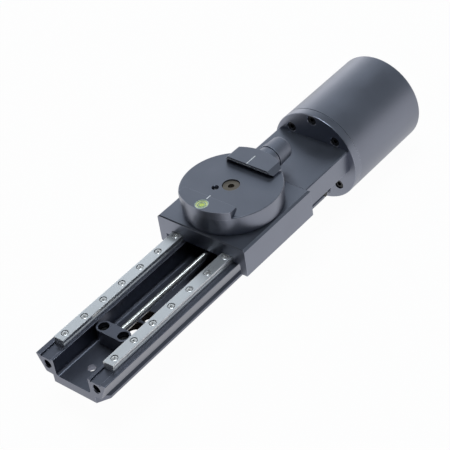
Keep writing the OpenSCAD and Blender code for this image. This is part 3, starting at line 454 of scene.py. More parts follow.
def smooth(piece: Piece, angle: float = 32.0) -> Piece:
    """Shades a piece smooth but for sharp edges, and lets its largest faces stay flat.

    Args:
        piece: The piece to shade.
        angle: The angle in degrees past which an edge stays sharp.

    Returns:
        The same piece.
    """
    piece.data.shade_smooth()
    piece.data.set_sharp_from_angle(angle=math.radians(angle))
    weigh = piece.modifiers.new("weigh", "WEIGHTED_NORMAL")
    weigh.keep_sharp = True
    settle(piece)
    return piece


def eased_copy(node: str, width: float = 0.2 * MM, segments: int = 2) -> Piece:
    """Copies a CAD node's mesh, joins its loose triangles into faces and bevels its edges.

    Args:
        node: The CAD node's name.
        width: The bevel's width.
        segments: The bevel's segments.

    Returns:
        The new piece.
    """
    shape = bmesh.new()
    shape.from_mesh(bpy.data.objects[node].data)
    bmesh.ops.remove_doubles(shape, verts=shape.verts, dist=MERGE * 2)
    bmesh.ops.dissolve_limit(
        shape, angle_limit=math.radians(0.6), verts=shape.verts, edges=shape.edges
    )
    piece = to_piece(shape, f"{node}_eased")
    bevel = piece.modifiers.new("ease", "BEVEL")
    bevel.width = width
    bevel.segments = segments
    bevel.limit_method = "ANGLE"
    bevel.angle_limit = math.radians(38)
    bevel.use_clamp_overlap = True
    settle(piece)
    return piece


def cap_screw(
    head: Point, socket: float, shank: Point, recess: float = 0.55, chamfer: float = 0.2 * MM
) -> Mesh:
    """Makes a socket head cap screw that points down, with its head's top at the origin.

    Args:
        head: The head's radius and height.
        socket: The hexagon's width across its flats.
        shank: The shank's radius and its length under the head.
        recess: The socket's depth as a share of the head's height.
        chamfer: The bevel round the head's top.

    Returns:
        The screw.
    """
    radius, height = head
    bolt, length = shank
    profile = [
        (0.0, 0.0), (0.0, radius - chamfer), (-chamfer * 0.3, radius - chamfer * 0.3),
        (-chamfer, radius), (-height + chamfer * 0.5, radius),
        (-height, radius - chamfer * 0.5), (-height, bolt),
        (-height - length + bolt * 0.3, bolt), (-height - length, bolt * 0.7),
        (-height - length, 0.0),
    ]
    body = to_piece(turned(profile, Axis.Z, steps=40), "screw")
    key = extruded(
        circle_corners(socket / math.sqrt(3), 6), Axis.Z, -height * recess, height, 0.0
    )
    rim = hole(Axis.Z, (0, 0, 0), [(0.01 * MM, socket * 0.56)], flare=0.12 * MM, sense=-1)
    drilled(body, [key])
    drilled(body, [rim])
    shape = bmesh.new()
    shape.from_mesh(body.data)
    spent = body.data
    bpy.data.objects.remove(body)
    bpy.data.meshes.remove(spent)
    return shape


def at(x: float, y: float, z: float, facing: str = "up") -> Matrix:
    """Gives the transform that sets a screw in place.

    Args:
        x: Where the head's top is along X.
        y: The same along Y.
        z: The same along Z.
        facing: The side that the head's top faces: up, down, front or back.

    Returns:
        The transform.
    """
    turns = {
        "up": Matrix.Identity(4),
        "down": Matrix.Rotation(math.pi, 4, "X"),
        "front": Matrix.Rotation(-math.pi / 2, 4, "Y"),
        "back": Matrix.Rotation(math.pi / 2, 4, "Y"),
    }
    return Matrix.Translation((x, y, z)) @ turns[facing]


# Finishes


class Grain(Enum):
    """How a surface was worked."""

    BLASTED = "blasted"
    DRAWN = "drawn along X"


class Nodes:
    """The node tree of a material that is being built."""

    def __init__(self, material: bpy.types.Material) -> None:
        """Starts from the material's own shader."""
        material.use_nodes = True
        self.tree = material.node_tree
        self.shader = self.tree.nodes["Principled BSDF"]

    def feed(self, node: bpy.types.Node, inputs: Inputs) -> None:
        """Sets a node's sockets, or links them where the value is itself a socket."""
        for key, value in inputs.items():
            if isinstance(value, Socket):
                self.tree.links.new(value, node.inputs[key])
            else:
                node.inputs[key].default_value = value

    def add(self, kind: str, inputs: Inputs | None = None, **settings: str | int) -> bpy.types.Node:
        """Adds a node.

        Args:
            kind: The node's type, without the prefix that all shader nodes share.
            inputs: The value or the source of each socket.
            settings: The node's own properties.

        Returns:
            The node.
        """
        node = self.tree.nodes.new(f"ShaderNode{kind}")
        for name, setting in settings.items():
            setattr(node, name, setting)
        self.feed(node, inputs or {})
        return node

    def maths(self, operation: str, first: Socket, second: Socket | float) -> Socket:
        """Joins two values by an operation."""
        return self.add("Math", {0: first, 1: second}, operation=operation).outputs[0]

    def mixed(self, share: Socket, first: Inlet, second: Inlet) -> Socket:
        """Blends two colours."""
        inputs = {"Factor": share, "A": first, "B": second}
        return self.add("Mix", inputs, data_type="RGBA").outputs["Result"]

    def noise(self, place: Socket, size: float, detail: float = 2.0) -> Socket:
        """Adds a noise pattern of a given spacing."""
        inputs = {"Vector": place, "Scale": 1 / size, "Detail": detail}
        return self.add("TexNoise", inputs).outputs["Fac"]

    def ranged(self, value: Socket, source: Point, target: Point) -> Socket:
        """Maps one range of values to another."""
        inputs = {"Value": value, "From Min": source[0], "From Max": source[1]}
        inputs |= {"To Min": target[0], "To Max": target[1]}
        return self.add("MapRange", inputs).outputs[0]


def opaque(colour: Iterable[float]) -> tuple[float, ...]:
    """Adds the alpha of a solid colour, and keeps each channel within 1."""
    return (*[min(c, 1.0) for c in colour], 1.0)


@dataclass(frozen=True)
class Finish:
    """A metal or plastic surface with its own grain.

    Attributes:
        name: The material's name.
        colour: The surface's linear colour.
        metallic: How metallic it is.
        roughness: Its mean roughness.
        grain: How it was worked.
        grain_size: The spacing of the grain's marks.
        grain_depth: The height of the marks.
        variation: How far the colour wanders from place to place.
    """

    name: str
    colour: Corner
    metallic: float
    roughness: float
    grain: Grain = Grain.BLASTED
    grain_size: float = 0.25 * MM
    grain_depth: float = 0.004 * MM
    variation: float = 0.08

    def material(self) -> bpy.types.Material:
        """Builds the node material, or returns it where it exists."""
        made = bpy.data.materials.get(self.name)
        if made:
            return made
        made = bpy.data.materials.new(self.name)
        nodes = Nodes(made)
        place = nodes.add("TexCoord").outputs["Object"]
        broad = nodes.noise(place, BROAD_SIZE, 3.0)
        if self.grain is Grain.DRAWN:
            drawn = {"Vector": place, "Scale": (DRAWN_SHARE, 1.0, 1.0)}
            place = nodes.add("Mapping", drawn).outputs[0]
        fine = nodes.noise(place, self.grain_size, 4.0)
        bump = {"Strength": 1.0, "Distance": self.grain_depth, "Height": fine}
        half = (self.roughness * 0.44, self.roughness * 0.56)
        nodes.feed(
            nodes.shader,
            {
                "Metallic": self.metallic,
                "Base Color": self._colour(nodes, broad, fine),
                "Roughness": self._blend(nodes, broad, half, fine, half),
                "Normal": nodes.add("Bump", bump).outputs[0],
            },
        )
        return made

    def _blend(
        self, nodes: Nodes, broad: Socket, broad_to: Point, fine: Socket, fine_to: Point
    ) -> Socket:
        """Adds the two patterns, each mapped to its own range."""
        first = nodes.ranged(broad, NOISE_RANGE, broad_to)
        return nodes.maths("ADD", first, nodes.ranged(fine, NOISE_RANGE, fine_to))

    def _colour(self, nodes: Nodes, broad: Socket, fine: Socket) -> Socket:
        """Lets the colour wander with both patterns, and lightens it at edges, partly as wear and
        partly as a painted highlight.
        """
        share = self._blend(nodes, broad, (0.0, 0.6), fine, (0.0, 0.4))
        dark = opaque(c * (1 - self.variation) for c in self.colour)
        light = opaque(c * (1 + self.variation) for c in self.colour)
        # Lighter edge colour: partly wear, partly a painted highlight.
        scuffed_and_highlit = opaque(c * (1 + EDGE_SCUFF_AND_HIGHLIGHT) + 0.04 * EDGE_SCUFF_AND_HIGHLIGHT for c in self.colour)
        plain = nodes.mixed(share, dark, light)
        return nodes.mixed(self._scuffed_and_highlit_edges(nodes, broad), plain, scuffed_and_highlit)

    def _scuffed_and_highlit_edges(self, nodes: Nodes, broad: Socket) -> Socket:
        """Finds the edges, where hands and tools rub the finish and where a painted highlight
        stands for light caught on the edge, in broken stretches.
        """
        eased = nodes.add("Bevel", {"Radius": EDGE_SCUFF_AND_HIGHLIGHT_WIDTH}, samples=4).outputs["Normal"]
        plain = nodes.add("NewGeometry").outputs["Normal"]
        turn = nodes.add("VectorMath", {0: eased, 1: plain}, operation="DOT_PRODUCT")
        mask = nodes.ranged(turn.outputs["Value"], EDGE_SCUFF_AND_HIGHLIGHT_BEND, (0.0, 1.0))
        return nodes.maths("MULTIPLY", mask, nodes.ranged(broad, NOISE_RANGE, (0.5, 1.0)))


@dataclass(frozen=True)
class Clear:
    """A clear or tinted see-through material.

    Attributes:
        name: The material's name.
        colour: The tint.
        roughness: The surface's roughness.
        ior: The index of refraction.
        transmission: How much of the light that enters passes through.
        cover: How much of the surface is opaque, where the rest is open like a thin film.
    """

    name: str
    colour: Corner
    roughness: float
    ior: float
    transmission: float
    cover: float = 1.0

    def material(self) -> bpy.types.Material:
        """Builds the node material, or returns it where it exists."""
        made = bpy.data.materials.get(self.name)
        if made:
            return made
        made = bpy.data.materials.new(self.name)
        nodes = Nodes(made)
        noise = nodes.noise(nodes.add("TexCoord").outputs["Object"], CLEAR_SIZE)
        dull = opaque(c * 0.95 for c in self.colour)
        rough = (self.roughness * 0.7, self.roughness * 1.3)
        nodes.feed(
            nodes.shader,
            {
                "Transmission Weight": self.transmission,
                "IOR": self.ior,
                "Alpha": self.cover,
                "Base Color": nodes.mixed(noise, dull, opaque(self.colour)),
                "Roughness": nodes.ranged(noise, (0.0, 1.0), rough),
            },
        )
        return made


SLATE = (0.222, 0.236, 0.285)
ANODISED = Finish("slate_anodised", SLATE, 1.0, 0.37, grain_size=0.22 * MM)
DEEP_SLATE = (0.163, 0.172, 0.212)
DRAWN_ANODISED = Finish(
    "slate_anodised_extrusion", DEEP_SLATE, 1.0, 0.34, Grain.DRAWN, 0.18 * MM, 0.005 * MM
)
KNOB_ANODISED = Finish("slate_anodised_knob", SLATE, 1.0, 0.52, grain_size=0.22 * MM)
CAN_ANODISED = Finish("slate_anodised_can", SLATE, 1.0, 0.43, grain_size=0.22 * MM)
BLOCK_ANODISED = Finish("slate_anodised_block", DEEP_SLATE, 1.0, 0.37, grain_size=0.22 * MM)
GROUND_STEEL = Finish(
    "ground_rail_steel", (0.92, 0.935, 0.96), 0.85, 0.30, Grain.DRAWN, 0.35 * MM, 0.002 * MM, 0.03
)
BRIGHT_STEEL = Finish(
    "bright_screw_steel", (0.88, 0.87, 0.86), 0.8, 0.26, Grain.BLASTED, 0.3 * MM, 0.002 * MM
)
BLACK_OXIDE = Finish("black_oxide", (0.016, 0.016, 0.017), 0.3, 0.35, Grain.BLASTED, 0.2 * MM)
TAN_STEEL = Finish(
    "blasted_tan_steel", (0.19, 0.165, 0.135), 0.7, 0.45, Grain.BLASTED, 0.2 * MM, 0.006 * MM, 0.15
)
SHAFT_STEEL = Finish(
    "polished_shaft_steel", (0.66, 0.66, 0.63), 1.0, 0.30, Grain.DRAWN, 0.2 * MM, 0.001 * MM, 0.05
)
BRASS = Finish("turned_brass", (0.62, 0.44, 0.16), 1.0, 0.28, Grain.BLASTED, 0.3 * MM, 0.003 * MM)
PLASTIC = Finish(
    "black_moulded_plastic", (0.012, 0.012, 0.013), 0.0, 0.5, Grain.BLASTED, 0.3 * MM, 0.008 * MM
)
LAMINATION = Finish(
    "stator_lamination", (0.03, 0.03, 0.032), 0.8, 0.45, Grain.BLASTED, 0.3 * MM, 0.006 * MM, 0.2
)
CAST = Finish(
    "cast_motor_aluminium", (0.55, 0.55, 0.56), 1.0, 0.42, Grain.BLASTED, 0.35 * MM, 0.01 * MM, 0.1
)
SOLDER_MASK = Finish(
    "green_solder_mask", (0.01, 0.09, 0.035), 0.0, 0.25, Grain.BLASTED, 0.5 * MM, 0.002 * MM, 0.25
)
# Near-black bush steel: painted shade inside the bush holes, darker than the slot's bright steel.
BUSH_STEEL_PAINTED_SHADE = Finish("bush_steel_darkened_as_painted_shade", (0.05, 0.04, 0.035), 0.9, 0.34, Grain.BLASTED, 0.2 * MM)
DULL_STEEL = Finish("dull_pin_steel", (0.34, 0.34, 0.36), 0.9, 0.24, Grain.BLASTED, 0.2 * MM)
# Jaw land: lighter than the slate jaw as a painted highlight.
LAND_STEEL_WITH_PAINTED_HIGHLIGHT = Finish(
    "jaw_land_lightened_as_painted_highlight", (0.46, 0.48, 0.52), 1.0, 0.26, Grain.BLASTED, 0.2 * MM, 0.002 * MM
)
RING_PRINT = Finish("level_ring_print", (0.20, 0.34, 0.26), 0.0, 0.4, Grain.BLASTED, 0.2 * MM)
# Colour of the painted shade ring along the bubble's outline.
BUBBLE_OUTLINE_SHADE = Finish("level_bubble_painted_outline_shade", (0.22, 0.34, 0.06), 0.0, 0.4, Grain.BLASTED, 0.2 * MM)
WHITE_FILL = Finish("white_line_fill", (0.75, 0.76, 0.78), 0.0, 0.5, Grain.BLASTED, 0.2 * MM)
ACRYLIC = Clear("clear_acrylic_rim", (0.78, 0.93, 0.82), 0.12, 1.49, 0.1)
ACRYLIC_LID = Clear("clear_acrylic_lid", (0.95, 0.97, 0.92), 0.05, 1.49, 0.0, 0.08)
LEVEL_LIQUID = Clear("level_liquid", (0.97, 1.0, 0.36), 0.15, 1.36, 0.05)
BUBBLE_AIR = Clear("level_bubble_air", (0.80, 0.95, 0.14), 0.08, 1.2, 0.05)

SLOT_FINISH: dict[Slot, Finish | Clear] = {
    Slot.ANODISED: ANODISED,
    Slot.RAIL: GROUND_STEEL,
    Slot.BRIGHT: BRIGHT_STEEL,
    Slot.BLACK: BLACK_OXIDE,
    Slot.TAN: TAN_STEEL,
    Slot.SHAFT: SHAFT_STEEL,
    Slot.BRASS: BRASS,
    Slot.PLASTIC: PLASTIC,
    Slot.CLEAR: ACRYLIC,
    Slot.LIQUID: LEVEL_LIQUID,
    Slot.LAMINATION: LAMINATION,
    Slot.CAST: CAST,
    Slot.BOARD: SOLDER_MASK,
}


def dress(piece: Piece, finish: Finish | Clear) -> Piece:
    """Gives a piece one finish all over."""
    piece.data.materials.clear()
    piece.data.materials.append(finish.material())
    return piece


def fit(
    piece: Piece,
    body: Body,
    slot: Slot,
    finish: Finish | Clear | None = None,
    replaces: Sequence[str] = (),
    angle: float = 32.0,
) -> Piece:
    """Shades a piece, dresses it and sets it on its body.

    Args:
        piece: The finished piece.
        body: The body that it rides on.
        slot: The record's material slot that it takes its finish from.
        finish: Its finish, where it isn't the slot's own.
        replaces: The CAD nodes that it stands for.
        angle: The angle in degrees past which an edge stays sharp.

    Returns:
        The same piece.
    """
    smooth(piece, angle)
    dress(piece, finish or SLOT_FINISH[slot])
    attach(piece, body.value)
    if replaces:
        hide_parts(*replaces)
    LOG.info("%s: %d faces on %s", piece.name, len(piece.data.polygons), body.value)
    return piece


def centre_of(node: str) -> Vector:
    """The middle of a CAD node's box."""
    low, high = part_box(node)
    return (low + high) / 2


# Sub-assemblies


@dataclass
class BaseProfile:
    """The channel profile with its dovetail foot and its threaded bushes."""

    foot: float = 19.0 * MM
    flank: float = 1.6 * MM
    waist: float = 15.7 * MM
    waist_z: float = 4.9 * MM
    wall_foot: float = 19.8 * MM
    top: float = 24.6 * MM
    ledge: float = 16.4 * MM
    seat: float = 15.6 * MM
    rail_y: float = 17.5 * MM
    seat_half: float = 3.65 * MM
    relief: Point = (0.7 * MM, 0.5 * MM)
    channel: float = 12.2 * MM
    floor: float = 5.7 * MM
    fillet: float = 2.0 * MM
    edge: float = 0.25 * MM
    leg_bore: Point = (17.3 * MM, 11.5 * MM)
    leg_bore_radius: float = 2.5 * MM
    leg_bore_depth: float = 12.0 * MM
    leg_cut_x: float = 68.4 * MM
    leg_cut_z: float = 10.1 * MM
    plan_cut: Point = (7.0 * MM, 4.2 * MM)
    pin_x: float = -89.0 * MM
    pin_land: float = 3.6 * MM
    screw_xs: tuple[float, float] = (76.0 * MM, 92.0 * MM)
    screw_y: float = 15.5 * MM
    screw_hole: tuple[Point, Point] = ((4.4 * MM, 3.8 * MM), (THROUGH, 2.15 * MM))
    pin_bores: Point = (4.0 * MM, 2.4 * MM)
    beyond: float = 30.0 * MM
    large_thread: Point = (4.75 * MM, 1.5875 * MM)
    small_thread: Point = (3.15 * MM, 1.27 * MM)

    def outline(self) -> list[Point]:
        """Gives the profile's rounded section."""
        low, high = self.rail_y - self.seat_half, self.rail_y + self.seat_half
        wide, deep = self.relief
        soft, fine = 0.3 * MM, 0.1 * MM
        half: list[Corner] = [
            (self.foot, 0.0, soft), (self.foot, self.flank, soft),
            (self.waist, self.waist_z, soft), (self.waist, self.waist_z + 0.3 * MM, fine),
            (self.wall_foot - 0.4 * MM, self.waist_z + 0.5 * MM, fine),
            (self.wall_foot, self.waist_z + 0.9 * MM, soft),
            (self.top, self.ledge, 0.4 * MM), (high, self.ledge, fine),
            (high, self.seat - deep, fine), (high - wide, self.seat - deep, fine),
            (high - wide, self.seat, fine), (low + wide, self.seat, fine),
            (low + wide, self.seat - deep, fine), (low, self.seat - deep, fine),
            (low, self.ledge, fine), (self.channel, self.ledge, soft),
            (self.channel, self.floor, self.fillet),
        ]
        return rounded(mirrored(half), steps=5)

    def cutters(self, start: float, end: float) -> list[Mesh]:
        """Makes the tools that cut the profile's ends, legs and holes."""
        tools: list[Mesh] = []
        over = 1.0 * MM
        long_cut, deep_cut = self.plan_cut
        for side in (-1, 1):
            tools.append(
                hole(
                    Axis.X,
                    (start, side * self.leg_bore[0], self.leg_bore[1]),
                    [(self.leg_bore_depth, self.leg_bore_radius)],
                    flare=0.5 * MM,
                )
            )
            inner, outer = side * (self.channel - over), side * self.beyond
            tools.append(
                block(
                    (self.leg_cut_x, min(inner, outer), self.leg_cut_z),
                    (end + over, max(inner, outer), self.beyond),
                )
            )
            for x_end, sense in ((start, -1), (end, 1)):
                corner = [
                    (x_end + sense * over, side * (self.foot - deep_cut * 1.14)),
                    (x_end + sense * over, side * (self.foot + over)),
                    (x_end - sense * (long_cut + over * 1.67), side * (self.foot + over)),
                ]
                tools.append(extruded(corner, Axis.Z, -over, self.waist_z + 0.25 * MM))
            for x in self.screw_xs:
                tools.append(
                    hole(
                        Axis.Z,
                        (x, side * self.screw_y, 0.0),
                        self.screw_hole,
                        flare=0.3 * MM,
                    )
                )
        tools.append(
            hole(
                Axis.Z,
                (self.pin_x, 0, 0),
                [(self.pin_land, self.pin_bores[0]), (THROUGH, self.pin_bores[1])],
                flare=0.2 * MM,
            )
        )
        for node in ("tripod_bush_large", "tripod_bush_small"):
            low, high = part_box(node)
            radius = (high.x - low.x) / 2
            middle = ((low.x + high.x) / 2, 0, 0)
            tools.append(hole(Axis.Z, middle, [(THROUGH, radius)], flare=0.1 * MM))
        return tools

    def bush(self, node: str, bore: float, pitch: float) -> Piece:
        """Turns one threaded bush."""
        low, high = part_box(node)
        radius = (high.x - low.x) / 2
        soft = 0.3 * MM
        rise = pitch * 0.5
        inner: list[Point] = [(low.z, bore + rise)]
        along = low.z + rise
        while along + pitch < high.z - rise:
            inner += [(along, bore), (along + pitch / 2, bore + rise)]
            along += pitch
        inner += [(along, bore), (high.z, bore + rise)]
        outer = [
            (high.z, radius - soft), (high.z - soft, radius), (low.z + soft, radius),
            (low.z, radius - soft),
        ]
        middle = ((low.x + high.x) / 2, 0, 0)
        shape = turned([*inner, *outer], Axis.Z, middle, steps=48, closed=True)
        return to_piece(shape, f"{node}_turned")

    def build(self) -> None:
        """Makes the profile and its bushes."""
        low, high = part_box("base_profile")
        shape = extruded(self.outline(), Axis.X, low.x, high.x, self.edge)
        piece = drilled(to_piece(shape, "channel_profile"), self.cutters(low.x, high.x))
        fit(piece, Body.BASE, Slot.ANODISED, DRAWN_ANODISED, ["base_profile"])
        for node, (bore, pitch) in (
            ("tripod_bush_large", self.large_thread),
            ("tripod_bush_small", self.small_thread),
        ):
            # The bushes take near-black steel as painted shade in their holes.
            fit(self.bush(node, bore, pitch), Body.BASE, Slot.BRIGHT, BUSH_STEEL_PAINTED_SHADE, [node])


@dataclass
class GuideRails:
    """The two ground rails and their screws."""

    pitch: float = 15.0 * MM
    count: int = 11
    end: float = 5.0 * MM
    edge: float = 0.25 * MM
    groove: Point = (0.45 * MM, 2.55 * MM)
    groove_reach: tuple[float, float] = (0.2 * MM, 0.65 * MM)
    counterbore: Point = (2.3 * MM, 2.1 * MM)
    head: Point = (1.78 * MM, 2.0 * MM)
    key: float = 1.3 * MM
    sink: float = 0.3 * MM
    bore: float = 1.2 * MM
    shank: Point = (1.0 * MM, 6.0 * MM)

    def outline(self, middle: float, low: float, high: float, half: float) -> list[Point]:
        """Gives one rail's rounded section."""
        deep, level = self.groove
        near, far = self.groove_reach
        corners: list[Corner] = []
        for side in (1, -1):
            stack = [
                (half, low, self.edge), (half, low + level - far, 0.05 * MM),
                (half - deep, low + level - near, 0.1 * MM),
                (half - deep, low + level + near, 0.1 * MM),
                (half, low + level + far, 0.05 * MM), (half, high, self.edge),
            ]
            if side < 0:
                stack = [(-u, v, r) for u, v, r in reversed(stack)]
            corners += stack
        return [(middle + u, v) for u, v in rounded(corners, steps=3)]

    def rail(self, node: str) -> Piece:
        """Makes one rail with its counterbored holes."""
        low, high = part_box(node)
        middle, half = (low.y + high.y) / 2, (high.y - low.y) / 2
        shape = extruded(
            self.outline(middle, low.z, high.z, half), Axis.X, low.x, high.x, self.edge * 0.8
        )
        depth, radius = self.counterbore
        tools = [
            hole(
                Axis.Z,
                (low.x + self.end + i * self.pitch, middle, high.z),
                [(depth, radius), (THROUGH, self.bore)],
                flare=0.12 * MM,
                sense=-1,
            )
            for i in range(self.count)
        ]
        return drilled(to_piece(shape, f"{node}_ground"), tools)

    def screws(self, node: str, rail: str) -> Piece:
        """Makes one rail's row of cap screws."""
        low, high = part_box(rail)
        middle = (low.y + high.y) / 2
        places = [
            at(low.x + self.end + i * self.pitch, middle, high.z - self.sink)
            for i in range(self.count)
        ]
        screw = cap_screw(self.head, self.key, self.shank)
        return to_piece(repeated(screw, places), f"{node}_set")

    def build(self) -> None:
        """Makes both rails and both rows of screws."""
        for side in ("left", "right"):
            node, row = f"rail_{side}", f"rail_screws_{side}"
            fit(self.rail(node), Body.BASE, Slot.RAIL, replaces=[node])
            fit(self.screws(row, node), Body.BASE, Slot.BRIGHT, replaces=[row])


@dataclass
class ScrewDrive:
    """The lead screw with its bearings, its end block and the block's screws; its nut and its
    coupling are not made here.
    """

    pitch: float = 1.0 * MM
    depth: float = 0.16 * MM
    turn_steps: int = 18
    journal: float = 1.48 * MM
    block_bolt_y: float = 6.9 * MM
    counterbore: Point = (6.4 * MM, 3.1 * MM)
    bolt_bore: Point = (20.0 * MM, 1.65 * MM)
    bolt_length: float = 8.0 * MM
    flat_y: float = 9.6 * MM
    flat_slope: float = 0.8
    pocket_depth: float = 2.5 * MM
    pocket_bore: Point = (5.8 * MM, 1.9 * MM)
    bearing_bores: Point = (1.5 * MM, 2.04 * MM)

    def lead_screw(self) -> Piece:
        """Sweeps the thread along the rod and closes both ends."""
        low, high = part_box("lead_screw")
        block_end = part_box("bearing_block")[1].x + 0.25 * MM
        radius, height = (high.z - low.z) / 2, (high.z + low.z) / 2
        root = radius - self.depth
        turns = math.ceil((high.x - block_end) / self.pitch) + 2
        shape = bmesh.new()
        profile = [
            (0.0, root), (0.18, root), (0.36, radius), (0.82, radius), (1.0, root),
        ]
        verts = [shape.verts.new((share * self.pitch, 0, r)) for share, r in profile]
        edges = [shape.edges.new(pair) for pair in zip(verts, verts[1:])]
        bmesh.ops.spin(
            shape,
            geom=[*verts, *edges],
            cent=(0, 0, 0),
            axis=Axis.X.vector,
            dvec=(self.pitch / self.turn_steps, 0, 0),
            angle=FULL_TURN * turns,
            steps=self.turn_steps * turns,
            use_merge=False,
        )
        bmesh.ops.remove_doubles(shape, verts=shape.verts, dist=0.01 * MM)
        shift = Vector((block_end - 1.5 * self.pitch, 0, height))
        bmesh.ops.translate(shape, vec=shift, verts=shape.verts)
        shaved(shape, (block_end, 0, height), (-1, 0, 0))
        shaved(shape, (high.x, 0, height), (1, 0, 0))
        soft = 0.25 * MM
        journal = turned(
            [
                (low.x, 0.0), (low.x, self.journal - soft), (low.x + soft, self.journal),
                (block_end + 0.4 * MM, self.journal), (block_end + 0.4 * MM, 0.0),
            ],
            Axis.X,
            (0, 0, height),
            steps=32,
        )
        return to_piece(merged([shape, journal]), "lead_screw_threaded")

    def end_block(self) -> Piece:
        """Makes the round-ended block at the screw's free end."""
        low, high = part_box("bearing_block")
        middle, radius = (low.x + high.x) / 2, (high.x - low.x) / 2
        corners: list[Corner] = [
            (high.x, low.y, radius), (high.x, high.y, radius), (low.x, high.y, radius),
            (low.x, low.y, radius),
        ]
        outline = rounded([(u, v, r * 0.999) for u, v, r in corners], steps=14)
        shape = extruded(outline, Axis.Z, low.z, high.z, 0.25 * MM)
        for side in (-1, 1):
            shaved(shape, (middle, side * self.flat_y, low.z), (0, side, -self.flat_slope))
        depth, bore = self.counterbore
        axis_z = centre_of("lead_screw").z
        bearing = (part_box("near_bearing")[1].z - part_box("near_bearing")[0].z) / 2
        tools = [
            hole(
                Axis.Z,
                (middle, side * self.block_bolt_y, high.z),
                [(depth, bore), self.bolt_bore],
                flare=0.2 * MM,
                sense=-1,
            )
            for side in (-1, 1)
        ]
        piece = drilled(to_piece(shape, "end_block"), tools)
        pocket = hole(
            Axis.X,
            (high.x, 0, axis_z),
            [(self.pocket_depth, bearing), self.pocket_bore],
            flare=0.15 * MM,
            sense=-1,
        )
        return drilled(piece, [pocket])

    def bearing(self, node: str, bore: float) -> Piece:
        """Turns a shielded ball bearing."""
        low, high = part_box(node)
        outer, height = (high.z - low.z) / 2, (high.z + low.z) / 2
        soft, sink = 0.15 * MM, 0.2 * MM
        race = (outer - bore) * 0.28
        near = [
            (low.x, bore + soft), (low.x, bore + race), (low.x + sink, bore + race),
            (low.x + sink, outer - race), (low.x, outer - race), (low.x, outer - soft),
            (low.x + soft, outer),
        ]
        far = [(low.x + high.x - along, radius) for along, radius in reversed(near)]
        profile = [*near, *far, (high.x - soft, bore), (low.x + soft, bore)]
        shape = turned(profile, Axis.X, (0, 0, height), steps=48, closed=True)
        return to_piece(shape, f"{node}_shielded")

    def build(self) -> None:
        """Makes the drive's pieces."""
        fit(self.lead_screw(), Body.SHAFT, Slot.SHAFT, replaces=["lead_screw"], angle=50)
        fit(self.end_block(), Body.BASE, Slot.ANODISED, BLOCK_ANODISED, ["bearing_block"])
        low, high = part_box("block_screws")
        middle = (low.x + high.x) / 2
        screw = cap_screw(M3_HEAD, M3_KEY, (M3_BOLT, self.bolt_length))
        places = [at(middle, side * self.block_bolt_y, high.z) for side in (-1, 1)]
        pair = to_piece(repeated(screw, places), "block_screw_pair")
        fit(pair, Body.BASE, Slot.BLACK, replaces=["block_screws"])
        for node, bore in zip(("near_bearing", "rear_bearing"), self.bearing_bores):
            fit(self.bearing(node, bore), Body.BASE, Slot.BRIGHT, replaces=[node])


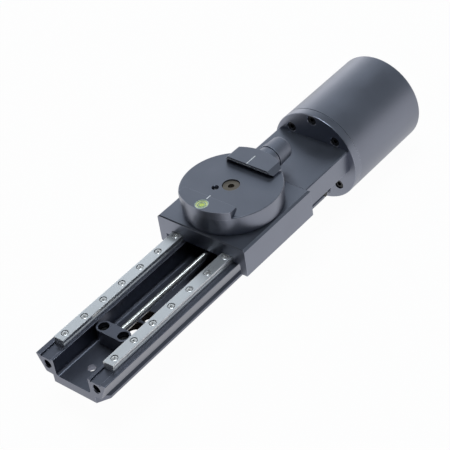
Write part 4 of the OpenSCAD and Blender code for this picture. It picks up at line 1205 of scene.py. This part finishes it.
@dataclass
class Clamp:
    """The quick release clamp: disc, jaws, knob, collar, pin, level and index lines; its screws are
    not made here.
    """

    edge: float = 0.35 * MM
    # Width of the painted shade ring along the bubble's outline.
    bubble_size: Point = (0.28 * MM, 1.35 * MM)
    bubble_shade_ring_width: float = 0.22 * MM
    level_ring: Corner = (1.95 * MM, 2.4 * MM, 0.06 * MM)
    lid_sink: float = 0.05 * MM
    lid_thick: float = 0.25 * MM
    air_gap: float = 0.32 * MM
    meniscus: float = 0.12 * MM
    line_width: float = 0.6 * MM
    line_rise: float = 0.02 * MM
    fixed_line: Point = (14.7 * MM, 18.0 * MM)
    fixed_line_y: float = 0.4 * MM
    moving_line: Point = (50.2 * MM, 58.2 * MM)
    moving_line_y: float = 0.6 * MM
    land_size: Corner = (0.4 * MM, 0.7 * MM, 0.8 * MM)
    land_half: float = 14.7 * MM
    knob_tip: float = 6.9 * MM
    knob_bend: float = 1.5 * MM
    knob_dimple: float = 2.3 * MM
    knob_sink: float = 0.3 * MM
    collar_bore: float = 2.54 * MM
    jaw_edge: float = 15.25 * MM

    def knob(self) -> Piece:
        """Turns the clamp knob with its rounded end."""
        low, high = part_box("clamp_knob")
        height = (low.z + high.z) / 2
        near = (high.z - low.z) / 2
        arc = round_end(high.x, self.knob_tip, self.knob_bend)
        profile = [
            (low.x, 0.0), (low.x, near - 0.35 * MM), (low.x + 0.1 * MM, near - 0.1 * MM),
            (low.x + 0.35 * MM, near), *arc,
            (high.x, self.knob_dimple + self.knob_sink),
            (high.x - self.knob_sink, self.knob_dimple), (high.x - self.knob_sink, 0.0),
        ]
        return to_piece(turned(profile, Axis.X, (0, 0, height), steps=96), "knob_turned")

    def collar(self) -> Piece:
        """Turns the fixed collar before the knob."""
        low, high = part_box("clamp_collar")
        height, radius, bore = (low.z + high.z) / 2, (high.z - low.z) / 2, self.collar_bore
        soft = 0.3 * MM
        profile = [
            (low.x, bore), (low.x, radius - soft), (low.x + soft, radius),
            (high.x - soft, radius), (high.x, radius - soft), (high.x, bore),
        ]
        shape = turned(profile, Axis.X, (0, 0, height), steps=96, closed=True)
        return to_piece(shape, "collar_turned")

    def detent_pin(self) -> Piece:
        """Turns the small pin with its domed end."""
        low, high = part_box("lock_pin")
        radius = (high.x - low.x) / 2
        middle = ((low.x + high.x) / 2, (low.y + high.y) / 2, 0)
        dome = [
            (high.z - radius * 0.6 * (1 - math.cos(a)), radius * math.sin(a))
            for a in angles(90, 15)
        ]
        profile = [*dome, (low.z + 0.2 * MM, radius), (low.z, radius - 0.2 * MM), (low.z, 0.0)]
        return to_piece(turned(profile, Axis.Z, middle, steps=32), "detent_pin")

    def index_line(self, name: str, x_from: float, x_to: float, y: float, z: float) -> Piece:
        """Makes one filled index line that lies flush in a jaw's top."""
        half = self.line_width / 2
        shape = block((x_from, y - half, z - 0.15 * MM), (x_to, y + half, z + self.line_rise))
        soften(shape, shape.edges, 0.01 * MM, segments=1)
        return to_piece(shape, name)

    def level(self) -> None:
        """Makes the round level: vial, liquid, ring and bubble."""
        low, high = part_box("bubble_vial")
        centre = ((low.x + high.x) / 2, (low.y + high.y) / 2, 0)
        radius, wall = (high.x - low.x) / 2, 0.5 * MM
        soft = 0.2 * MM
        inner, bottom = radius - wall, low.z + 0.6 * MM
        vial = turned(
            [
                (low.z, 0.0), (low.z, radius - soft), (low.z + soft, radius),
                (high.z - soft, radius), (high.z, radius - soft), (high.z, inner),
                (bottom, inner), (bottom, 0.0),
            ],
            Axis.Z,
            centre,
        )
        fit(to_piece(vial, "level_vial"), Body.SLIDER, Slot.CLEAR, replaces=["bubble_vial"])
        cover, rim = high.z - self.lid_sink, inner - 0.01 * MM
        lid_plate = turned(
            [
                (cover - self.lid_thick, 0.0), (cover - self.lid_thick, rim),
                (cover - soft / 2, rim), (cover, rim - soft / 2), (cover, 0.0),
            ],
            Axis.Z,
            centre,
        )
        fit(to_piece(lid_plate, "level_lid"), Body.SLIDER, Slot.CLEAR, ACRYLIC_LID)
        top = high.z - self.lid_sink - self.lid_thick - self.air_gap
        self.bubble(Vector((centre[0], centre[1], top)))
        liquid = turned(
            [
                (bottom + 0.01 * MM, 0.0), (bottom + 0.01 * MM, rim), (top, rim),
                (top - self.meniscus, rim - 0.5 * MM), (top - self.meniscus, 0.0),
            ],
            Axis.Z,
            centre,
        )
        body = to_piece(liquid, "level_liquid_body")
        fit(body, Body.SLIDER, Slot.LIQUID, replaces=["bubble_liquid"])

    def bubble(self, crown: Vector) -> None:
        """Makes the air bubble, a painted shade ring along its outline, and the printed ring round
        it.

        Args:
            crown: The middle of the liquid's upper face.
        """
        tall, wide = self.bubble_size
        dome = [
            (-self.meniscus - tall * math.cos(a), wide * math.sin(a))
            for a in angles(180, 15)
        ]
        air = turned([(z, max(r, 0.0)) for z, r in dome], Axis.Z, crown, steps=40)
        fit(to_piece(air, "level_bubble"), Body.SLIDER, Slot.LIQUID, BUBBLE_AIR, angle=60)
        inner, outer, thick = self.level_ring
        edge = wide + self.bubble_shade_ring_width
        for name, finish, near, far, height in (
            # The first ring is painted shade along the bubble's outline.
            ("level_bubble_painted_shade_ring", BUBBLE_OUTLINE_SHADE, wide - 0.05 * MM, edge, -self.meniscus + thick),
            ("level_target_ring", RING_PRINT, inner, outer, self.air_gap - 0.01 * MM),
        ):
            ring = turned(
                [(-thick, near), (0.0, near), (0.0, far), (-thick, far)],
                Axis.Z,
                crown + Vector((0, 0, height)),
                steps=56,
                closed=True,
            )
            fit(to_piece(ring, name), Body.SLIDER, Slot.LIQUID, finish)

    def land(self) -> Piece:
        """Makes the moving jaw's polished land, a slim rounded strip along its gripping edge; its
        lighter colour is a painted highlight.
        """
        out, top, deep = self.land_size
        edge, half = centre_of("carriage").x + self.jaw_edge, self.land_half
        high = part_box("moving_jaw")[1].z - top
        soft = out * 0.45
        corners: list[Corner] = [
            (edge - out, high - deep, soft * 0.5), (edge + out, high - deep, 0.0),
            (edge + out, high, 0.0), (edge - out, high, soft),
        ]
        return to_piece(extruded(rounded(corners), Axis.Y, -half, half, out * 0.3), "jaw_land")

    def build(self) -> None:
        """Makes the clamp's pieces."""
        pin = self.detent_pin()
        fit(pin, Body.SLIDER, Slot.BRIGHT, DULL_STEEL, ["lock_pin"])
        for node, body in (("clamp_base", Body.SLIDER), ("moving_jaw", Body.JAW)):
            fit(eased_copy(node, self.edge), body, Slot.ANODISED, replaces=[node])
        fit(self.knob(), Body.KNOB, Slot.ANODISED, KNOB_ANODISED, ["clamp_knob"])
        fit(self.collar(), Body.JAW, Slot.ANODISED, KNOB_ANODISED, ["clamp_collar"])
        self.level()
        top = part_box("clamp_base")[1].z
        # The land's lighter metal colour is a painted highlight.
        fit(self.land(), Body.JAW, Slot.ANODISED, LAND_STEEL_WITH_PAINTED_HIGHLIGHT)
        for name, body, (start, end), y in (
            ("fixed_jaw_line", Body.SLIDER, self.fixed_line, self.fixed_line_y),
            ("moving_jaw_line", Body.JAW, self.moving_line, self.moving_line_y),
        ):
            fit(self.index_line(name, start, end, y, top), body, Slot.ANODISED, WHITE_FILL)


@dataclass
class CarriageParts:
    """The carriage with its guide blocks and their end caps, its nut and the nut's bracket; their
    fasteners are not made here.
    """

    edge: float = 0.4 * MM
    bracket_edge: float = 0.25 * MM
    small_edge: float = 0.15 * MM

    def build(self) -> None:
        """Makes the carriage's pieces."""
        for node, slot, edge in (
            ("carriage", Slot.ANODISED, self.edge),
            ("nut_bracket", Slot.ANODISED, self.bracket_edge),
            ("lead_nut", Slot.BRASS, self.small_edge),
            *((f"guide_block_{side}", Slot.RAIL, self.small_edge) for side in GUIDE_SIDES),
            ("guide_end_caps", Slot.PLASTIC, self.small_edge),
        ):
            fit(eased_copy(node, edge), Body.SLIDER, slot, replaces=[node])


@dataclass
class MotorEnd:
    """The coupling housing, the can and the can's face screws; the motor inside it is not made
    here.
    """

    edge: float = 0.35 * MM
    motor_square: float = 15.5 * MM
    can_screw_z: float = 25.2 * MM
    face_bore: tuple[Point, Point] = ((3.6 * MM, 3.0 * MM), (THROUGH, 1.65 * MM))
    wall: float = 1.6 * MM
    end: float = 3.0 * MM
    bend: float = 1.5 * MM
    socket_bore: float = 6.15 * MM

    def spots(self, node: str) -> list[Point]:
        """Gives the places of a row of screws in the can's face, from the face's middle."""
        if node == "motor_screws":
            reach = self.motor_square
            return [(s * reach, t * reach) for s in (-1, 1) for t in (-1, 1)]
        return [(0.0, self.can_screw_z), (0.0, -self.can_screw_z)]

    def plate(self) -> Piece:
        """Turns the can's front plate and drills its face."""
        low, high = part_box("can_plate")
        radius, height = (high.y - low.y) / 2, (high.z + low.z) / 2
        near, far = 0.5 * MM, 0.3 * MM
        profile = [
            (low.x, 0.0), (low.x, radius - near),
            (low.x + near * 0.35, radius - near * 0.35), (low.x + near, radius),
            (high.x - far, radius), (high.x, radius - far), (high.x, 0.0),
        ]
        piece = to_piece(turned(profile, Axis.X, (0, 0, height), steps=160), "can_front_plate")
        spots = [*self.spots("motor_screws"), *self.spots("can_screws")]
        tools = [
            hole(
                Axis.X,
                (low.x, y, height + z),
                self.face_bore,
                flare=0.2 * MM,
            )
            for y, z in spots
        ]
        tools.append(hole(Axis.X, (low.x, 0, height), [(THROUGH, 4 * MM)], flare=0.2 * MM))
        return drilled(piece, tools)

    def shell(self) -> Piece:
        """Turns the round motor cover."""
        low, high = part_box("can_shell")
        radius, height = (high.y - low.y) / 2, (high.z + low.z) / 2
        wall, end, near, slope = self.wall, self.end, 0.3 * MM, 0.8 * MM
        arc = round_end(high.x, radius, self.bend)
        profile = [
            (low.x, radius - wall), (low.x, radius - near), (low.x + near, radius), *arc,
            (high.x, 0.0), (high.x - end, 0.0), (high.x - end, radius - wall - slope),
            (high.x - end - slope, radius - wall),
        ]
        shape = turned(profile, Axis.X, (0, 0, height), steps=160, closed=True)
        piece = to_piece(shape, "can_cover")
        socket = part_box("rear_socket")
        middle_z = (socket[0].z + socket[1].z) / 2
        bore = [(THROUGH, self.socket_bore)]
        return drilled(piece, [hole(Axis.X, (high.x, 0, middle_z), bore, 0.2 * MM, -1)])

    def screws(self, node: str) -> Piece:
        """Makes the cap screws in the can's face."""
        low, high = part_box(node)
        centre = centre_of("can_plate").z
        length = high.x - low.x - M3_HEAD[1]
        screw = cap_screw(M3_HEAD, M3_KEY, (M3_BOLT, length))
        places = [at(low.x, y, centre + z, "front") for y, z in self.spots(node)]
        return to_piece(repeated(screw, places), f"{node}_set")

    def build(self) -> None:
        """Makes the motor end's pieces."""
        neck = eased_copy("coupling_housing", self.edge)
        fit(neck, Body.BASE, Slot.ANODISED, replaces=["coupling_housing"])
        fit(self.plate(), Body.BASE, Slot.ANODISED, replaces=["can_plate"])
        fit(self.shell(), Body.BASE, Slot.ANODISED, CAN_ANODISED, ["can_shell"])
        for node in ("motor_screws", "can_screws"):
            fit(self.screws(node), Body.BASE, Slot.BLACK, replaces=[node])


def dress_frame(frame: dict) -> None:
    """Gives every CAD node that still shows its slot's finish."""
    slots = {s["node"]: s["material_slot"] for s in frame["record"]["subparts"]}
    for name, node in frame["nodes"].items():
        if not node.hide_render:
            dress(node, SLOT_FINISH[Slot(slots[name])])
            LOG.info("%s: CAD mesh with its slot's finish", name)


# Studio


@dataclass(frozen=True)
class Lamp:
    """A soft box: its place, its two sides, its power and its colour."""

    name: str
    place: Corner
    size: Point
    power: float
    colour: Corner = (0.84, 0.93, 1.0)


LAMPS = (
    Lamp("back_low_box", (1.15, 1.1, 0.31), (2.6, 0.65), 7.5, (1.0, 1.0, 1.0)),
    Lamp("back_high_box", (1.1, 1.05, 1.05), (2.4, 0.85), 3.8),
    Lamp("top_box", (0.05, 0.0, 1.6), (0.8, 0.8), 15.0),
    Lamp("side_panel", (1.18, -1.1, 1.0), (1.6, 1.6), 2.4),
)


@dataclass
class Studio:
    """The floor, the lamps, the world and the camera."""

    lens: float = 122.84
    sensor: float = 36.0
    camera_at: Corner = (-0.44494, -0.46244, 0.55600)
    azimuth: float = 44.533
    elevation: float = 39.141
    roll: float = -9.272
    floor_z: float = -17.6 * MM
    floor_reach: float = 3.6
    cove_radius: float = 0.4
    cove_height: float = 0.72
    floor_colour: tuple[float, ...] = (0.80, 0.80, 0.80, 1)
    floor_glow: float = 0.97
    aim: Corner = (0.03, 0.0, 0.01)
    world: float = 0.05
    world_tint: Corner = (0.92, 0.97, 1.0)

    def camera(self) -> None:
        """Sets the camera at the photograph's place."""
        data = bpy.data.cameras.new("camera")
        data.lens = self.lens
        data.sensor_width = self.sensor
        data.clip_start = 0.01
        camera = bpy.data.objects.new("camera", data)
        turn = (
            Matrix.Rotation(math.radians(self.azimuth - 90), 4, "Z")
            @ Matrix.Rotation(math.radians(90 - self.elevation), 4, "X")
            @ Matrix.Rotation(math.radians(self.roll), 4, "Z")
        )
        camera.matrix_world = Matrix.Translation(self.camera_at) @ turn
        bpy.context.scene.collection.objects.link(camera)
        bpy.context.scene.camera = camera

    def hang(self, lamp: Lamp) -> None:
        """Hangs a soft box that faces the object."""
        data = bpy.data.lights.new(lamp.name, "AREA")
        data.shape = "RECTANGLE"
        data.size, data.size_y = lamp.size
        data.energy = lamp.power
        data.color = lamp.colour
        box = bpy.data.objects.new(lamp.name, data)
        turn = (Vector(self.aim) - Vector(lamp.place)).to_track_quat("-Z", "Y")
        box.matrix_world = Matrix.Translation(lamp.place) @ turn.to_matrix().to_4x4()
        bpy.context.scene.collection.objects.link(box)

    def floor(self) -> None:
        """Lays the pale floor, which turns up into a low cove and keeps a soft shadow."""
        bend = self.cove_radius
        arc = [
            (self.floor_z + bend * (1 - math.cos(a)), self.floor_reach + bend * math.sin(a))
            for a in angles(90, 10)
        ]
        wall = (self.floor_z + self.cove_height, self.floor_reach + bend)
        floor = to_piece(turned([(self.floor_z, 0.0), *arc, wall], Axis.Z), "floor")
        floor.data.shade_smooth()
        material = bpy.data.materials.new("pale_floor")
        nodes = Nodes(material)
        plain = {"Base Color": self.floor_colour, "Roughness": 0.9, "Specular IOR Level": 0.1}
        nodes.feed(nodes.shader, plain)
        glow = nodes.add("Emission", {"Color": (1, 1, 1, 1), "Strength": 1.0})
        rays = nodes.add("LightPath").outputs
        seen = nodes.maths("MAXIMUM", rays["Is Glossy Ray"], rays["Is Transmission Ray"])
        seen = nodes.maths("MAXIMUM", rays["Is Camera Ray"], seen)
        share = nodes.maths("MULTIPLY", seen, self.floor_glow)
        parts = {"Fac": share, 1: nodes.shader.outputs[0], 2: glow.outputs[0]}
        mix = nodes.add("MixShader", parts).outputs[0]
        nodes.feed(nodes.tree.nodes["Material Output"], {"Surface": mix})
        floor.data.materials.append(material)

    def sky(self) -> None:
        """Fills the world with plain, dim light."""
        world = bpy.data.worlds.new("studio")
        bpy.context.scene.world = world
        world.use_nodes = True
        background = world.node_tree.nodes["Background"]
        background.inputs["Color"].default_value = (*self.world_tint, 1)
        background.inputs["Strength"].default_value = self.world

    def build(self) -> None:
        """Sets up the studio."""
        self.camera()
        self.sky()
        self.floor()
        for lamp in LAMPS:
            self.hang(lamp)
        bpy.context.scene.view_settings.view_transform = "Standard"


def main() -> None:
    """Builds the focusing rack round its frame."""
    logging.basicConfig(level=logging.INFO, format="%(message)s")
    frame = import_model()
    studio = Studio()
    studio.build()
    for part in (BaseProfile(), GuideRails(), ScrewDrive(), CarriageParts(), Clamp(), MotorEnd()):
        part.build()
    dress_frame(frame)


if __name__ == "__main__":
    main()
